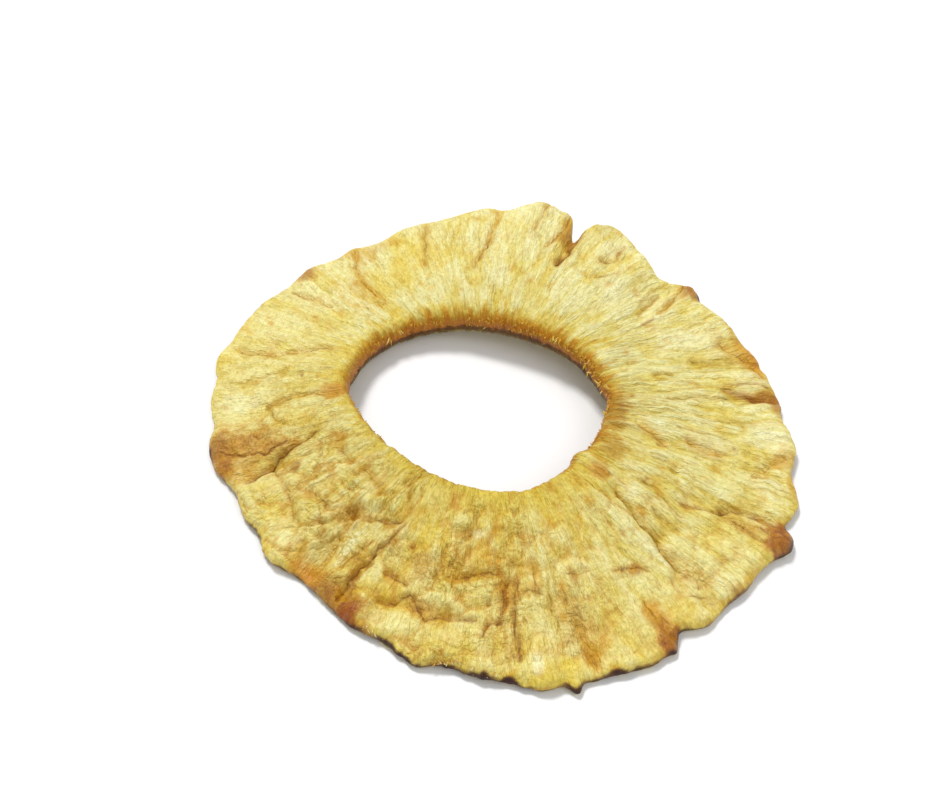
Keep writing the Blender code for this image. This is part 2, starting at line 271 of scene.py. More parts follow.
CREASES = tuple(Crease(*row) for row in (
    # Left side
    (((-169, 0.34), (-167, 0.45), (-166, 0.60), (-164, 0.69), (-162, 0.90)), 0.34, 0.45, BROWN, 0.75),
    (((-171, 0.92), (-169, 0.80), (-167, 0.66), (-169, 0.52)), 0.24, 0.22, BROWN, 0.70),
    (((-164, 0.69), (-153, 0.70), (-147, 0.77)), 0.40, 0.30, TAN, 0.55),
    (((178, 0.59), (176, 0.50), (175, 0.40), (176, 0.11)), 0.40, 0.30, AMBER, 0.50),
    (((178, 0.59), (-177, 0.55), (-175, 0.50)), 0.28, 0.25, OLIVE, 0.50),
    (((160, 0.86), (160, 0.59), (155, 0.37), (153, 0.23)), 0.50, 0.40, TAN, 0.55),
    (((170, 0.92), (168, 0.60), (166, 0.45)), 0.30, 0.22, OLIVE, 0.35),
    # Near left
    (((-158, 0.29), (-152, 0.27), (-140, 0.26), (-133, 0.31)), 0.45, 0.25, AMBER, 0.50),
    (((-137, 0.49), (-131, 0.49), (-127, 0.45), (-120, 0.37)), 0.42, 0.45, BROWN, 0.55),
    (((-135, 0.47), (-133, 0.67), (-132, 0.78), (-132, 0.91)), 0.42, 0.40, AMBER, 0.55),
    (((-118, 0.39), (-121, 0.54), (-123, 0.72), (-124, 0.83), (-123, 0.95)), 0.38, 0.50, BROWN, 0.60),
    (((-148, 0.58), (-141, 0.55), (-137, 0.49)), 0.35, 0.30, TAN, 0.45),
    (((-146, 0.86), (-140, 0.70), (-138, 0.58)), 0.32, 0.30, OLIVE, 0.40),
    (((-141, 0.95), (-136, 0.80), (-134, 0.66)), 0.30, 0.25, OLIVE, 0.40),
    (((-128, 0.92), (-127, 0.76), (-124, 0.58)), 0.32, 0.30, AMBER, 0.50),
    # Near side
    (((-116, 0.66), (-113, 0.67), (-110, 0.68)), 0.45, 0.30, BROWN, 0.60),
    (((-115, 0.81), (-111, 0.78), (-108, 0.73), (-103, 0.77)), 0.36, 0.45, BROWN, 0.60),
    (((-103, 0.77), (-100, 0.75), (-96, 0.75), (-92, 0.74)), 0.34, 0.40, BROWN, 0.55),
    (((-99, 0.55), (-94, 0.52), (-92, 0.49), (-85, 0.48)), 0.45, 0.35, AMBER, 0.65),
    (((-81, 0.46), (-82, 0.57), (-83, 0.69), (-83, 0.88)), 0.32, 0.25, BROWN, 0.70),
    (((-84, 0.51), (-85, 0.62), (-87, 0.72)), 0.36, 0.40, BROWN, 0.65),
    (((-86, 0.72), (-89, 0.74), (-90, 0.80)), 0.28, 0.45, RUST, 0.60),
    (((-100, 0.49), (-98, 0.44), (-98, 0.38), (-94, 0.29)), 0.32, 0.30, TAN, 0.50),
    (((-90, 0.39), (-83, 0.39), (-77, 0.43)), 0.40, 0.25, AMBER, 0.50),
    (((-75, 0.40), (-77, 0.52)), 0.38, 0.30, AMBER, 0.55),
    (((-73, 0.50), (-74.5, 0.60), (-73.5, 0.68), (-75, 0.74)), 0.28, 0.30, OLIVE, 0.45),
    (((-76, 0.56), (-82, 0.55)), 0.30, 0.25, AMBER, 0.45),
    (((-77, 0.75), (-81, 0.77)), 0.32, 0.15, AMBER, 0.25),
    # Near right
    (((-40, 0.29), (-41, 0.39), (-42, 0.48), (-42, 0.56), (-44, 0.64), (-44, 0.73)), 0.36, 0.50, OLIVE, 0.65),
    (((-30, 0.52), (-30, 0.57), (-28, 0.63), (-26, 0.65)), 0.36, 0.45, BROWN, 0.60),
    (((-26, 0.65), (-24, 0.72), (-24, 0.83), (-24, 0.93)), 0.34, 0.50, BROWN, 0.60),
    (((-37, 0.46), (-38, 0.57)), 0.28, 0.25, OLIVE, 0.50),
    (((-68, 0.50), (-63, 0.51)), 0.35, 0.20, TAN, 0.40),
    (((-57, 0.56), (-53, 0.60), (-50, 0.64)), 0.30, 0.25, BROWN, 0.50),
    (((-55, 0.76), (-55, 0.84)), 0.45, 0.30, AMBER, 0.65),
    (((-70, 0.75), (-69, 0.87), (-70, 0.97)), 0.50, 0.35, AMBER, 0.65),
    (((-55, 0.88), (-55, 1.00)), 0.80, 0.50, BROWN, 0.70),
    (((-47, 0.74), (-48, 0.82), (-45, 0.91)), 0.30, 0.30, TAN, 0.55),
    (((-31, 0.33), (-32, 0.45), (-34, 0.52)), 0.30, 0.28, OLIVE, 0.50),
    (((-28, 0.75), (-29, 0.92)), 0.30, 0.30, BROWN, 0.40),
    (((-26, 0.86), (-28, 0.97)), 0.45, 0.45, RUST, 0.70),
    # Right side
    (((-12, 0.21), (-13, 0.27), (-15, 0.33)), 0.42, 0.40, AMBER, 0.75),
    (((-12, 0.47), (-12.5, 0.53), (-13, 0.60)), 0.50, 0.40, AMBER, 0.75),
    (((12, 0.31), (12, 0.43)), 0.24, 0.28, OLIVE, 0.60),
    (((16, 0.60), (16, 0.76)), 0.60, 0.20, OLIVE, 0.60),
    (((3, 0.35), (5, 0.79)), 0.26, 0.22, OLIVE, 0.50),
    (((7, 0.70), (5, 0.84), (5, 1.00)), 0.55, 0.40, RUST, 0.60),
    (((9, 0.72), (8, 0.96)), 0.26, 0.25, BROWN, 0.50),
    (((20, 0.84), (15, 0.93), (11, 0.97)), 0.80, 0.40, AMBER, 0.70),
    (((-13, 0.85), (-9, 0.95)), 0.60, 0.40, AMBER, 0.60),
    (((-15, 0.78), (-15, 0.84)), 0.45, 0.30, AMBER, 0.55),
    (((-8, 0.40), (-8, 0.62)), 0.24, 0.20, OLIVE, 0.45),
    (((-3, 0.50), (-2, 0.80)), 0.24, 0.20, OLIVE, 0.40),
    (((9, 0.30), (9, 0.52)), 0.24, 0.20, OLIVE, 0.40),
    # Far side
    (((39, 0.80), (38, 0.65), (36, 0.54)), 0.22, 0.10, BROWN, 0.65),
    (((41, 0.86), (40, 0.70), (38.5, 0.60)), 0.22, 0.15, OLIVE, 0.60),
    (((33, 0.60), (32, 0.51)), 0.22, 0.15, BROWN, 0.65),
    (((38, 0.98), (36, 0.84), (34, 0.68)), 0.40, 0.35, AMBER, 0.60),
    (((54, 0.90), (53, 0.79), (56, 0.70)), 0.38, 0.35, TAN, 0.60),
    (((65, 1.00), (65, 0.83), (66, 0.70)), 0.50, 0.60, BROWN, 0.85),
    (((69, 1.00), (69, 0.80), (71, 0.66)), 0.45, 0.35, AMBER, 0.60),
    (((74, 0.98), (76, 0.72)), 0.40, 0.30, AMBER, 0.45),
    (((53, 0.58), (49, 0.69)), 0.26, 0.22, OLIVE, 0.50),
    (((86, 0.95), (88, 0.70), (92, 0.45)), 0.45, 0.35, AMBER, 0.55),
    (((104, 0.90), (108, 0.55)), 0.45, 0.35, TAN, 0.55),
    (((122, 0.92), (126, 0.62), (125, 0.40)), 0.50, 0.40, AMBER, 0.60),
    (((140, 0.88), (138, 0.55)), 0.40, 0.35, TAN, 0.50),
))

STAINS = tuple(Stain(*row) for row in (
    # Left side
    ((-171, 0.84), 7.5, 4.0, PINK_TAN, 0.65),
    ((-172, 0.97), 3.4, 4.2, BROWN, 0.65),
    ((-167, 0.95), 2.0, 2.2, RUST, 0.55),
    ((-173, 0.74), 2.6, 1.6, PINK_TAN, 0.60),
    ((-164, 0.92), 3.5, 1.8, AMBER, 0.60),
    ((-169, 0.62), 1.8, 1.2, PINK_TAN, 0.60),
    ((-161, 0.57), 1.0, 1.0, BROWN, 0.60),
    ((-162, 0.26), 2.0, 2.4, AMBER, 0.55),
    ((175, 0.10), 2.4, 1.6, ORANGE, 0.65),
    ((178, 0.89), 4.0, 3.0, PALE, 0.60),
    ((175, 0.74), 5.0, 2.6, CREAM, 0.60),
    ((-176, 0.45), 4.0, 2.2, GOLD, 0.60),
    ((-152, 0.62), 4.0, 3.0, TAN, 0.35),
    # Near left
    ((-147, 0.75), 0.9, 0.9, OLIVE, 0.75),
    ((-136, 0.48), 1.4, 1.0, BROWN, 0.65),
    ((-136, 0.55), 2.0, 1.2, TAN, 0.60),
    ((-132, 0.58), 1.5, 0.9, CREAM, 0.75),
    ((-129, 0.68), 4.0, 1.0, CREAM, 0.80),
    ((-135, 0.80), 3.0, 1.6, PALE, 0.70),
    ((-146, 0.84), 3.0, 3.0, PALE, 0.60),
    ((-130, 0.40), 1.4, 2.0, PALE, 0.60),
    ((-127, 0.96), 2.6, 7.0, AMBER, 0.65),
    ((-121, 0.97), 3.0, 4.2, BROWN, 0.90),
    ((-120, 0.99), 2.4, 3.0, RUST, 1.00),
    ((-127, 0.96), 2.4, 3.4, BROWN, 0.65),
    ((-123, 0.82), 3.4, 1.2, BROWN, 0.60),
    ((-133, 0.98), 2.4, 3.0, ORANGE, 0.65),
    ((-114, 0.66), 1.2, 1.1, BROWN, 0.65),
    ((-119, 0.53), 1.2, 1.0, BROWN, 0.45),
    ((-112, 0.46), 0.8, 0.8, AMBER, 0.80),
    ((-106, 0.54), 3.2, 3.0, TAN, 0.75),
    ((-105, 0.73), 1.2, 2.4, PINK_TAN, 0.50),
    ((-114, 0.79), 1.4, 1.0, GOLD, 0.60),
    ((-102, 0.13), 2.0, 0.9, ORANGE, 0.50),
    ((-135, 0.27), 1.4, 2.4, AMBER, 0.45),
    ((-112, 0.90), 2.4, 4.0, PALE, 0.50),
    # Near side
    ((-85, 0.24), 0.8, 1.8, AMBER, 0.60),
    ((-92, 0.29), 0.8, 1.4, CREAM, 0.70),
    ((-59, 0.07), 1.4, 1.6, AMBER, 0.50),
    ((-47, 0.10), 1.6, 1.4, AMBER, 0.55),
    ((-50, 0.23), 1.1, 1.1, AMBER, 0.60),
    ((-65, 0.38), 1.3, 0.9, AMBER, 0.60),
    ((-76, 0.41), 1.3, 1.2, AMBER, 0.70),
    ((-77, 0.54), 1.2, 0.9, RUST, 0.50),
    ((-88, 0.41), 1.0, 2.2, AMBER, 0.50),
    ((-85, 0.58), 3.4, 1.8, AMBER, 0.65),
    ((-84, 0.59), 2.4, 0.7, ORANGE, 0.50),
    ((-108, 0.34), 4.0, 3.0, GOLD, 0.60),
    ((-102, 0.74), 1.6, 5.0, AMBER, 0.45),
    ((-95, 0.46), 2.6, 3.4, AMBER, 0.40),
    ((-67, 0.51), 1.7, 0.6, BROWN, 0.60),
    ((-70, 0.68), 5.0, 2.0, TAN, 0.60),
    ((-70, 0.88), 3.0, 2.2, AMBER, 0.60),
    ((-70, 0.90), 2.2, 0.9, BROWN, 0.60),
    ((-73, 0.80), 2.6, 1.8, TAN, 0.60),
    ((-66, 0.86), 1.4, 2.2, AMBER, 0.45),
    ((-77, 0.94), 2.4, 4.4, GOLD, 0.75),
    ((-80, 0.90), 1.6, 1.2, CREAM, 0.85),
    ((-85, 0.87), 2.6, 0.9, TAN, 0.60),
    ((-90, 0.86), 3.2, 1.8, CREAM, 0.45),
    ((-78, 0.65), 3.6, 2.0, PALE, 0.60),
    ((-98, 0.88), 2.6, 3.2, PALE, 0.45),
    # Near right
    ((-39, 0.42), 1.3, 0.8, AMBER, 0.70),
    ((-36, 0.35), 1.6, 1.6, CREAM, 0.75),
    ((-45, 0.58), 4.5, 1.3, CREAM, 0.75),
    ((-52, 0.64), 1.0, 1.0, BROWN, 0.70),
    ((-55, 0.58), 1.8, 1.4, TAN, 0.50),
    ((-55, 0.80), 1.4, 1.2, ORANGE, 0.55),
    ((-55, 0.97), 4.2, 2.2, ORANGE, 0.70),
    ((-55, 1.00), 3.0, 2.2, RUST, 1.30),
    ((-59, 0.78), 5.0, 2.2, PALE, 0.55),
    ((-43, 0.82), 3.0, 2.8, TAN, 0.50),
    ((-36, 0.99), 1.4, 3.0, AMBER, 0.55),
    ((-40, 1.00), 1.4, 1.4, BROWN, 0.55),
    ((-27.5, 0.78), 4.4, 1.8, TAN, 0.75),
    ((-26.5, 0.97), 2.9, 3.2, RUST, 1.30),
    ((-33, 0.88), 4.0, 2.4, PALE, 0.55),
    ((-20, 0.84), 1.0, 0.8, AMBER, 0.50),
    ((-20, 0.70), 5.0, 1.6, PALE, 0.50),
    ((-31, 0.40), 1.0, 0.9, AMBER, 0.55),
    # Right side
    ((-37, 0.16), 1.8, 1.3, ORANGE, 0.55),
    ((-25, 0.10), 2.6, 2.4, BROWN, 0.45),
    ((-6, 0.05), 2.8, 4.5, BROWN, 0.50),
    ((-8, 0.29), 2.4, 2.0, CREAM, 0.70),
    ((8, 0.17), 2.6, 5.0, PALE, 0.60),
    ((-5, 0.88), 3.4, 2.6, CREAM, 0.75),
    ((24, 0.62), 7.0, 3.2, CREAM, 0.70),
    ((18, 0.96), 1.6, 5.0, AMBER, 0.90),
    ((16, 0.99), 1.0, 4.2, ORANGE, 0.60),
    ((5.5, 0.93), 4.0, 1.0, BROWN, 0.85),
    ((4.5, 0.99), 1.4, 2.4, RUST, 0.60),
    ((-9, 0.96), 2.4, 2.4, AMBER, 0.60),
    ((-14, 1.00), 1.2, 3.6, AMBER, 0.50),
    # Far side
    ((36, 0.97), 2.6, 2.2, RUST, 0.75),
    ((45, 0.58), 4.2, 3.4, CREAM, 0.75),
    ((56, 0.83), 2.0, 1.8, CREAM, 0.60),
    ((60, 0.94), 2.4, 2.2, OLIVE, 0.45),
    ((72, 0.80), 4.5, 1.1, CREAM, 0.60),
    ((67, 0.97), 3.0, 1.6, BROWN, 0.65),
    ((84, 0.35), 3.4, 1.6, CREAM, 0.60),
    ((82, 0.80), 4.0, 3.0, PALE, 0.50),
    ((108, 0.60), 7.0, 5.0, GOLD, 0.55),
    ((118, 0.92), 2.6, 5.0, AMBER, 0.50),
    ((130, 0.45), 6.0, 4.0, AMBER, 0.40),
    ((134, 0.96), 1.8, 2.8, RUST, 0.60),
    ((148, 0.72), 5.0, 3.0, PALE, 0.55),
    ((163, 0.93), 2.0, 3.0, GOLD, 0.55),
))

PITS = (
    (-167.0, 0.56), (-160.0, 0.40), (-160.0, 0.59), (-112.0, 0.47), (-105.0, 0.74), (-71.0, 0.60),
    (-52.0, 0.62), (-55.0, 0.57), (-44.0, 0.86), (-84.0, 0.87), (-16.0, 0.30), (-10.0, 0.70),
    (-30.0, 0.33), (-121.0, 0.66), (-97.0, 0.66), (-89.0, 0.63), (168.0, 0.35), (-145.0, 0.52),
)

BURNT = (BROWN, RUST, DARK, PINK_TAN, ORANGE)
CRUMPLED = (TAN, PINK_TAN)
SCAB_STRENGTH = 1.0

RINDS = (
    Rind(-118.0, 2.2, 0.7), Rind(-109.0, 1.6, 0.9), Rind(-104.0, 1.2, 0.5), Rind(-92.0, 1.8, 0.8),
    Rind(-84.5, 2.0, 0.7), Rind(-74.2, 0.9, 0.9), Rind(-66.0, 2.0, 0.5), Rind(-55.0, 1.6, 1.1),
    Rind(-40.0, 2.4, 0.4), Rind(-27.0, 2.6, 0.7), Rind(5.0, 1.6, 0.5), Rind(34.0, 2.0, 0.8),
    Rind(60.0, 2.0, 0.6), Rind(92.0, 3.0, 0.8), Rind(121.0, 2.6, 0.9), Rind(146.0, 2.2, 0.7),
    Rind(-173.0, 2.6, 0.7), Rind(-150.0, 2.0, 0.6),
)

RIDGED_RIGHT, RIDGED_FAR = Sector(-4.0, 32.0), Sector(75.0, 45.0)
GATHERED = Sector(2.0, 28.0)
WRINKLED_LEFT, WRINKLED_NEAR = Sector(-135.0, 34.0), Sector(-92.0, 22.0)
RIND_STRIP = Sector(-92.0, 24.0)
PADDED_LEFT, PADDED_NEAR, PADDED_RIGHT = Sector(-145.0, 24.0), Sector(-98.0, 26.0), Sector(-40.0, 14.0)
DEEPER_LEFT = Sector(175.0, 34.0)
GOLDEN_HOLE, GOLDEN_NEAR, AMBER_NEAR = Sector(-75.0, 42.0), Sector(-95.0, 34.0), Sector(-98.0, 26.0)
BAND_FAR, BAND_RIGHT, BAND_LEFT = Sector(60.0, 42.0), Sector(-12.0, 22.0), Sector(165.0, 25.0)
SMOOTH_RIGHT = Sector(-5.0, 50.0)

# Tints down the hole's wall: amber and orange are its own colour; the rust and dark at its foot are partly its own
# colour and partly painted shade.
HOLE_WALL = (
    Coat(AMBER, 0.9, 0.05, 0.40),
    Coat(ORANGE, 0.95, 0.20, 0.65),
    Coat(RUST, 0.6, 0.80, 1.05),
    Coat(DARK, 0.5, 0.95, 1.20),
)


@dataclass(frozen=True)
class GradientNoise:
    """Seeded gradient noise in three dimensions, from about -1 to 1."""

    seed: int
    table_size: int = 256
    gain: float = 1.7

    def at(self, points: np.ndarray) -> np.ndarray:
        """Noise at many points.

        Each corner of a point's unit cell has a random direction. The dot products of these with the offsets from
        the corners are blended by the curve 6t^5 - 15t^4 + 10t^3.

        Args:
            points: an array whose last axis is x, y, z, in cells.

        Returns:
            The noise, with the last axis gone.
        """
        draw = np.random.default_rng(self.seed)
        table = draw.permutation(self.table_size)
        slopes = draw.normal(size=(self.table_size, 3))
        slopes /= np.linalg.norm(slopes, axis=1, keepdims=True)
        cell = np.floor(points).astype(np.int64)
        inner = points - cell
        ease = inner ** 3 * (inner * (inner * 6.0 - 15.0) + 10.0)
        total = np.zeros(points.shape[:-1])
        for corner in np.ndindex(2, 2, 2):
            corner_at = (cell + corner) % self.table_size
            index = table[corner_at[..., 0]]
            index = table[(index + corner_at[..., 1]) % self.table_size]
            index = table[(index + corner_at[..., 2]) % self.table_size]
            weight = np.prod(np.where(np.array(corner) == 1, ease, 1.0 - ease), axis=-1)
            total += weight * np.sum(slopes[index] * (inner - np.array(corner)), axis=-1)
        return np.clip(total * self.gain, -1.0, 1.0)


@dataclass(frozen=True)
class CellNoise:
    """Seeded cells round the slice, as many on each turn as `around`, with one centre in every unit square."""

    seed: int
    around: int
    rows: int = 32
    jitter: float = 0.85

    def border(self, points: np.ndarray) -> np.ndarray:
        """How far points are from the borders of their cells.

        This is the distance to the second nearest centre less the distance to the nearest. Each centre lies off its
        square's middle by a random share of the jitter.

        Args:
            points: an array whose last axis is the cell's number round the slice and along its radius.

        Returns:
            The distances in cells, 0 on a border.
        """
        shift = np.random.default_rng(self.seed).uniform(-0.5, 0.5, (self.around, self.rows, 2)) * self.jitter
        square = np.floor(points).astype(np.int64)
        gaps = []
        for step in np.ndindex(3, 3):
            cell = square + np.array(step) - 1
            centre = cell + 0.5 + shift[cell[..., 0] % self.around, cell[..., 1] % self.rows]
            gaps.append(np.linalg.norm(points - centre, axis=-1))
        nearest = np.sort(np.stack(gaps), axis=0)
        return nearest[1] - nearest[0]


def smooth_step(value: np.ndarray, low: float = 0.0, high: float = 1.0) -> np.ndarray:
    """Eased rise from 0 at `low` to 1 at `high`: three times the square less twice the cube.

    Args:
        value: the values to ease.
        low: where the rise starts.
        high: where it ends.

    Returns:
        The eased values, from 0 to 1.
    """
    share = np.clip((value - low) / (high - low), 0.0, 1.0)
    return share * share * (3.0 - 2.0 * share)


def angle_gap(angle: np.ndarray, centre: float) -> np.ndarray:
    """Signed angle from `centre`, from -180 to 180 degrees."""
    return (angle - centre + FULL_TURN / 2) % FULL_TURN - FULL_TURN / 2


def lobe_sum(angle: np.ndarray, shapes: tuple[Lobe | Rind, ...]) -> np.ndarray:
    """Sum of bell curves over the angle.

    Args:
        angle: angles in degrees.
        shapes: lobes or rinds, each with an angle, a spread and a height in millimetres.

    Returns:
        The heights in metres.
    """
    total = np.zeros_like(angle)
    for shape in shapes:
        total += shape.height * MM * np.exp(-0.5 * (angle_gap(angle, shape.angle) / shape.spread) ** 2)
    return total


def wave_sum(angle: np.ndarray, shapes: tuple[Wave, ...]) -> np.ndarray:
    """Sum of cosine waves round the slice.

    Args:
        angle: angles in degrees.
        shapes: the waves.

    Returns:
        The heights in metres.
    """
    total = np.zeros_like(angle)
    for shape in shapes:
        total += shape.height * MM * np.cos(shape.count * np.radians(angle - shape.turn))
    return total


@dataclass
class SliceForm:
    """The form of the whole slice, as the solid has it: outlines, heights, pleats, folds and pads."""

    rim_mean: float = 44.5 * MM
    hole_mean: float = 18.0 * MM
    hole_thickness: float = 5.0 * MM
    rim_thickness: float = 2.8 * MM
    hole_top: float = 8.1 * MM
    rim_top: float = 2.3 * MM
    rim_edge_depth: float = 2.4 * MM
    shoulder_depth: float = 1.5 * MM
    foot_depth: float = 0.9 * MM
    wall_share: float = 0.42
    edge_power: float = 2.4
    middle: Pair = (-2.76 * MM, 2.72 * MM)
    pleat_seed: int = 11
    pleat_counts: tuple[int, ...] = (13, 17, 23, 29, 37)
    pleat_height: float = 0.16
    pleat_drift: float = 1.2
    scallop_counts: tuple[int, ...] = (19, 26, 34)
    scallop_height: float = 0.22

    def scallops(self, angle: np.ndarray) -> np.ndarray:
        """The rim's small scallops: a few cosine waves with seeded turns.

        Args:
            angle: angles in degrees.

        Returns:
            What they add to the radius, in metres.
        """
        draw = np.random.default_rng(self.pleat_seed + 1)
        shapes = tuple(Wave(n, draw.uniform(0, FULL_TURN), self.scallop_height) for n in self.scallop_counts)
        return wave_sum(angle, shapes)

    def rim_radius(self, angle: np.ndarray) -> np.ndarray:
        """Radius of the rim: its mean, waves, lobes and scallops."""
        return self.rim_mean + wave_sum(angle, RIM_WAVES) + lobe_sum(angle, RIM_LOBES) + self.scallops(angle)

    def hole_radius(self, angle: np.ndarray) -> np.ndarray:
        """Radius of the hole: its mean, waves and lobes."""
        return self.hole_mean + wave_sum(angle, HOLE_WAVES) + lobe_sum(angle, HOLE_LOBES)

    def radius(self, angle: np.ndarray, across: np.ndarray) -> np.ndarray:
        """Distance from the hole's middle, straight from the hole's radius to the rim's."""
        hole = self.hole_radius(angle)
        return hole + across * (self.rim_radius(angle) - hole)

    def spot(self, place: Pair) -> np.ndarray:
        """Plan position of one spot, about the hole's middle.

        Args:
            place: the spot's angle and across.

        Returns:
            Its x and y in metres.
        """
        angle = np.array([float(place[0])])
        turn = math.radians(place[0])
        return float(self.radius(angle, place[1])[0]) * np.array([math.cos(turn), math.sin(turn)])

    def pleats(self, angle: np.ndarray, across: np.ndarray) -> np.ndarray:
        """Radial pleats: cosine waves whose angle drifts on the way out, deeper towards the rim.

        Args:
            angle: angles in degrees.
            across: shares of the way from the hole to the rim.

        Returns:
            The heights in metres.
        """
        draw = np.random.default_rng(self.pleat_seed)
        total = np.zeros_like(angle)
        for count in self.pleat_counts:
            turn = draw.uniform(0, math.tau)
            drift = draw.uniform(-self.pleat_drift, self.pleat_drift)
            total += np.cos(count * np.radians(angle) + turn + drift * across * math.tau)
        return self.pleat_height * MM * total * (0.35 + 0.65 * across)

    def folds(self, plan: np.ndarray) -> np.ndarray:
        """Depth of the broad folds: bell curves over the distance to each fold's line.

        Args:
            plan: points, with x and y on the last axis.

        Returns:
            The depths in metres.
        """
        total = np.zeros(plan.shape[:-1])
        for fold in FOLDS:
            total += fold.depth * MM * np.exp(-(line_gap(plan, self.spot(fold.start), self.spot(fold.end))
                                                / (fold.width * MM)) ** 2)
        return total

    def pads(self, plan: np.ndarray) -> np.ndarray:
        """Height of the pads: the bell curve of each patch times its height.

        Args:
            plan: points, with x and y on the last axis.

        Returns:
            The heights in metres.
        """
        total = np.zeros(plan.shape[:-1])
        for pad in PADS:
            total += pad.height * MM * patch_bell(plan, self.spot(pad.centre), pad)
        return total

    def smooth_top(self, angle: np.ndarray, across: np.ndarray) -> np.ndarray:
        """Top without its relief: eased from the height at the hole to the height at the rim.

        Args:
            angle: angles in degrees.
            across: shares of the way from the hole to the rim.

        Returns:
            The heights in metres.
        """
        at_hole = self.hole_top + lobe_sum(angle, HOLE_TOP_LOBES)
        at_rim = self.rim_top + lobe_sum(angle, RIM_TOP_LOBES)
        return at_hole + (at_rim - at_hole) * smooth_step(across)

    def underside(self, angle: np.ndarray, across: np.ndarray) -> np.ndarray:
        """Underside: one thickness under the smooth top, and never below the ground."""
        thickness = self.hole_thickness + (self.rim_thickness - self.hole_thickness) * across
        return np.maximum(self.smooth_top(angle, across) - thickness - 0.5 * self.pleats(angle, across), 0.0)


def line_gap(plan: np.ndarray, start: np.ndarray, end: np.ndarray) -> np.ndarray:
    """Distance in plan from points to the straight line between two spots.

    Args:
        plan: points, with x and y on the last axis.
        start: one end of the line.
        end: its other end.

    Returns:
        The distances in metres.
    """
    run = end - start
    share = np.clip((plan - start) @ run / (run @ run), 0.0, 1.0)
    return np.linalg.norm(plan - start - share[..., None] * run, axis=-1)


def patch_bell(plan: np.ndarray, centre: np.ndarray, patch: Pad | Stain) -> np.ndarray:
    """Bell curve of a patch that lies along the radius: one over its length, one over its breadth.

    Args:
        plan: points, with x and y on the last axis.
        centre: the patch's spot in plan.
        patch: the pad or stain, with its length and breadth in millimetres.

    Returns:
        Values from 0 to 1.
    """
    outward = centre / np.linalg.norm(centre)
    offset = plan - centre
    along = offset @ outward / (patch.length * MM)
    over = (offset[..., 1] * outward[0] - offset[..., 0] * outward[1]) / (patch.breadth * MM)
    return np.exp(-along ** 2 - over ** 2)


@dataclass
class SectionGrid:
    """The slice's skin as a grid: steps round the hole, and one closed section for each of them.

    A section starts at the rim's edge, runs inwards over the top to the hole's wall, and back below. `rise` is the
    share of the way from the wall line to the top, or to the underside, so 0 lies on the walls and 1 on the faces.
    """

    form: SliceForm
    turns: int = 980
    rim_steps: int = 9
    face_steps: int = 61
    hole_steps: int = 10
    foot_steps: int = 4
    under_steps: int = 10
    lip_steps: int = 4

    def round_edge(self, reach: np.ndarray, steps: int) -> tuple[np.ndarray, np.ndarray]:
        """Quarter of a superellipse from an edge inwards: depth and rise are powers of cosine and sine.

        Args:
            reach: how deep the rounding reaches, one for each angle.
            steps: how many points the quarter has, the edge itself left out.

        Returns:
            Depth from the edge in metres, and rise, each with a row for every angle.
        """
        turn = np.linspace(0.0, math.pi / 2, steps + 1)[1:]
        power = 2.0 / self.form.edge_power
        depth = 1.0 - np.clip(np.cos(turn), 0.0, 1.0) ** power
        return reach[:, None] * depth, np.tile(np.sin(turn) ** power, (len(reach), 1))

    def layout(self) -> tuple[np.ndarray, np.ndarray, np.ndarray, np.ndarray]:
        """Places of all the grid's points.

        Returns:
            Angle, across, rise, and whether the point lies on the upper side, each (turns, points of a section).
        """
        angles = np.arange(self.turns) * FULL_TURN / self.turns
        width = (self.form.rim_radius(angles) - self.form.hole_radius(angles))[:, None]
        rim_reach = np.full(self.turns, self.form.rim_edge_depth)
        hole_reach = self.form.shoulder_depth + lobe_sum(angles, SHOULDER_LOBES)
        foot_reach = np.full(self.turns, self.form.foot_depth)
        rim_depth, rim_rise = self.round_edge(rim_reach, self.rim_steps)
        hole_depth, hole_rise = self.round_edge(hole_reach, self.hole_steps)
        foot_depth, foot_rise = self.round_edge(foot_reach, self.foot_steps)
        lip_depth, lip_rise = self.round_edge(rim_reach, self.lip_steps)
        rim_in = 1.0 - rim_depth / width
        hole_out, foot_out, lip_in = hole_depth / width, foot_depth / width, 1.0 - lip_depth / width

        def between(start: np.ndarray, end: np.ndarray, steps: int) -> np.ndarray:
            """Evenly spaced shares between two columns, both ends left out."""
            share = np.linspace(0.0, 1.0, steps + 2)[1:-1]
            return start[:, None] + (end - start)[:, None] * share

        flat = np.ones((self.turns, 1))
        across = np.hstack([
            flat,
            rim_in,
            between(rim_in[:, -1], hole_out[:, -1], self.face_steps),
            hole_out[:, ::-1],
            0.0 * flat,
            foot_out,
            between(foot_out[:, -1], lip_in[:, -1], self.under_steps),
            lip_in[:, ::-1],
        ])
        rise = np.hstack([
            0.0 * flat,
            rim_rise,
            np.tile(flat, (1, self.face_steps)),
            hole_rise[:, ::-1],
            0.0 * flat,
            foot_rise,
            np.tile(flat, (1, self.under_steps)),
            lip_rise[:, ::-1],
        ])
        upper_count = 2 + self.rim_steps + self.face_steps + self.hole_steps
        upper = np.arange(across.shape[1]) < upper_count
        return (np.repeat(angles[:, None], across.shape[1], axis=1), across, rise,
                np.tile(upper, (self.turns, 1)))

    def faces(self, loop: int) -> np.ndarray:
        """Quadrilaterals between neighbouring sections, closed both ways, with their fronts outwards.

        Args:
            loop: points in one section.

        Returns:
            Vertex numbers, four for each face.
        """
        turn, step = np.meshgrid(np.arange(self.turns), np.arange(loop), indexing="ij")
        near, far = turn * loop, (turn + 1) % self.turns * loop
        after = (step + 1) % loop
        return np.stack([near + step, far + step, far + after, near + after], axis=-1).reshape(-1, 4)


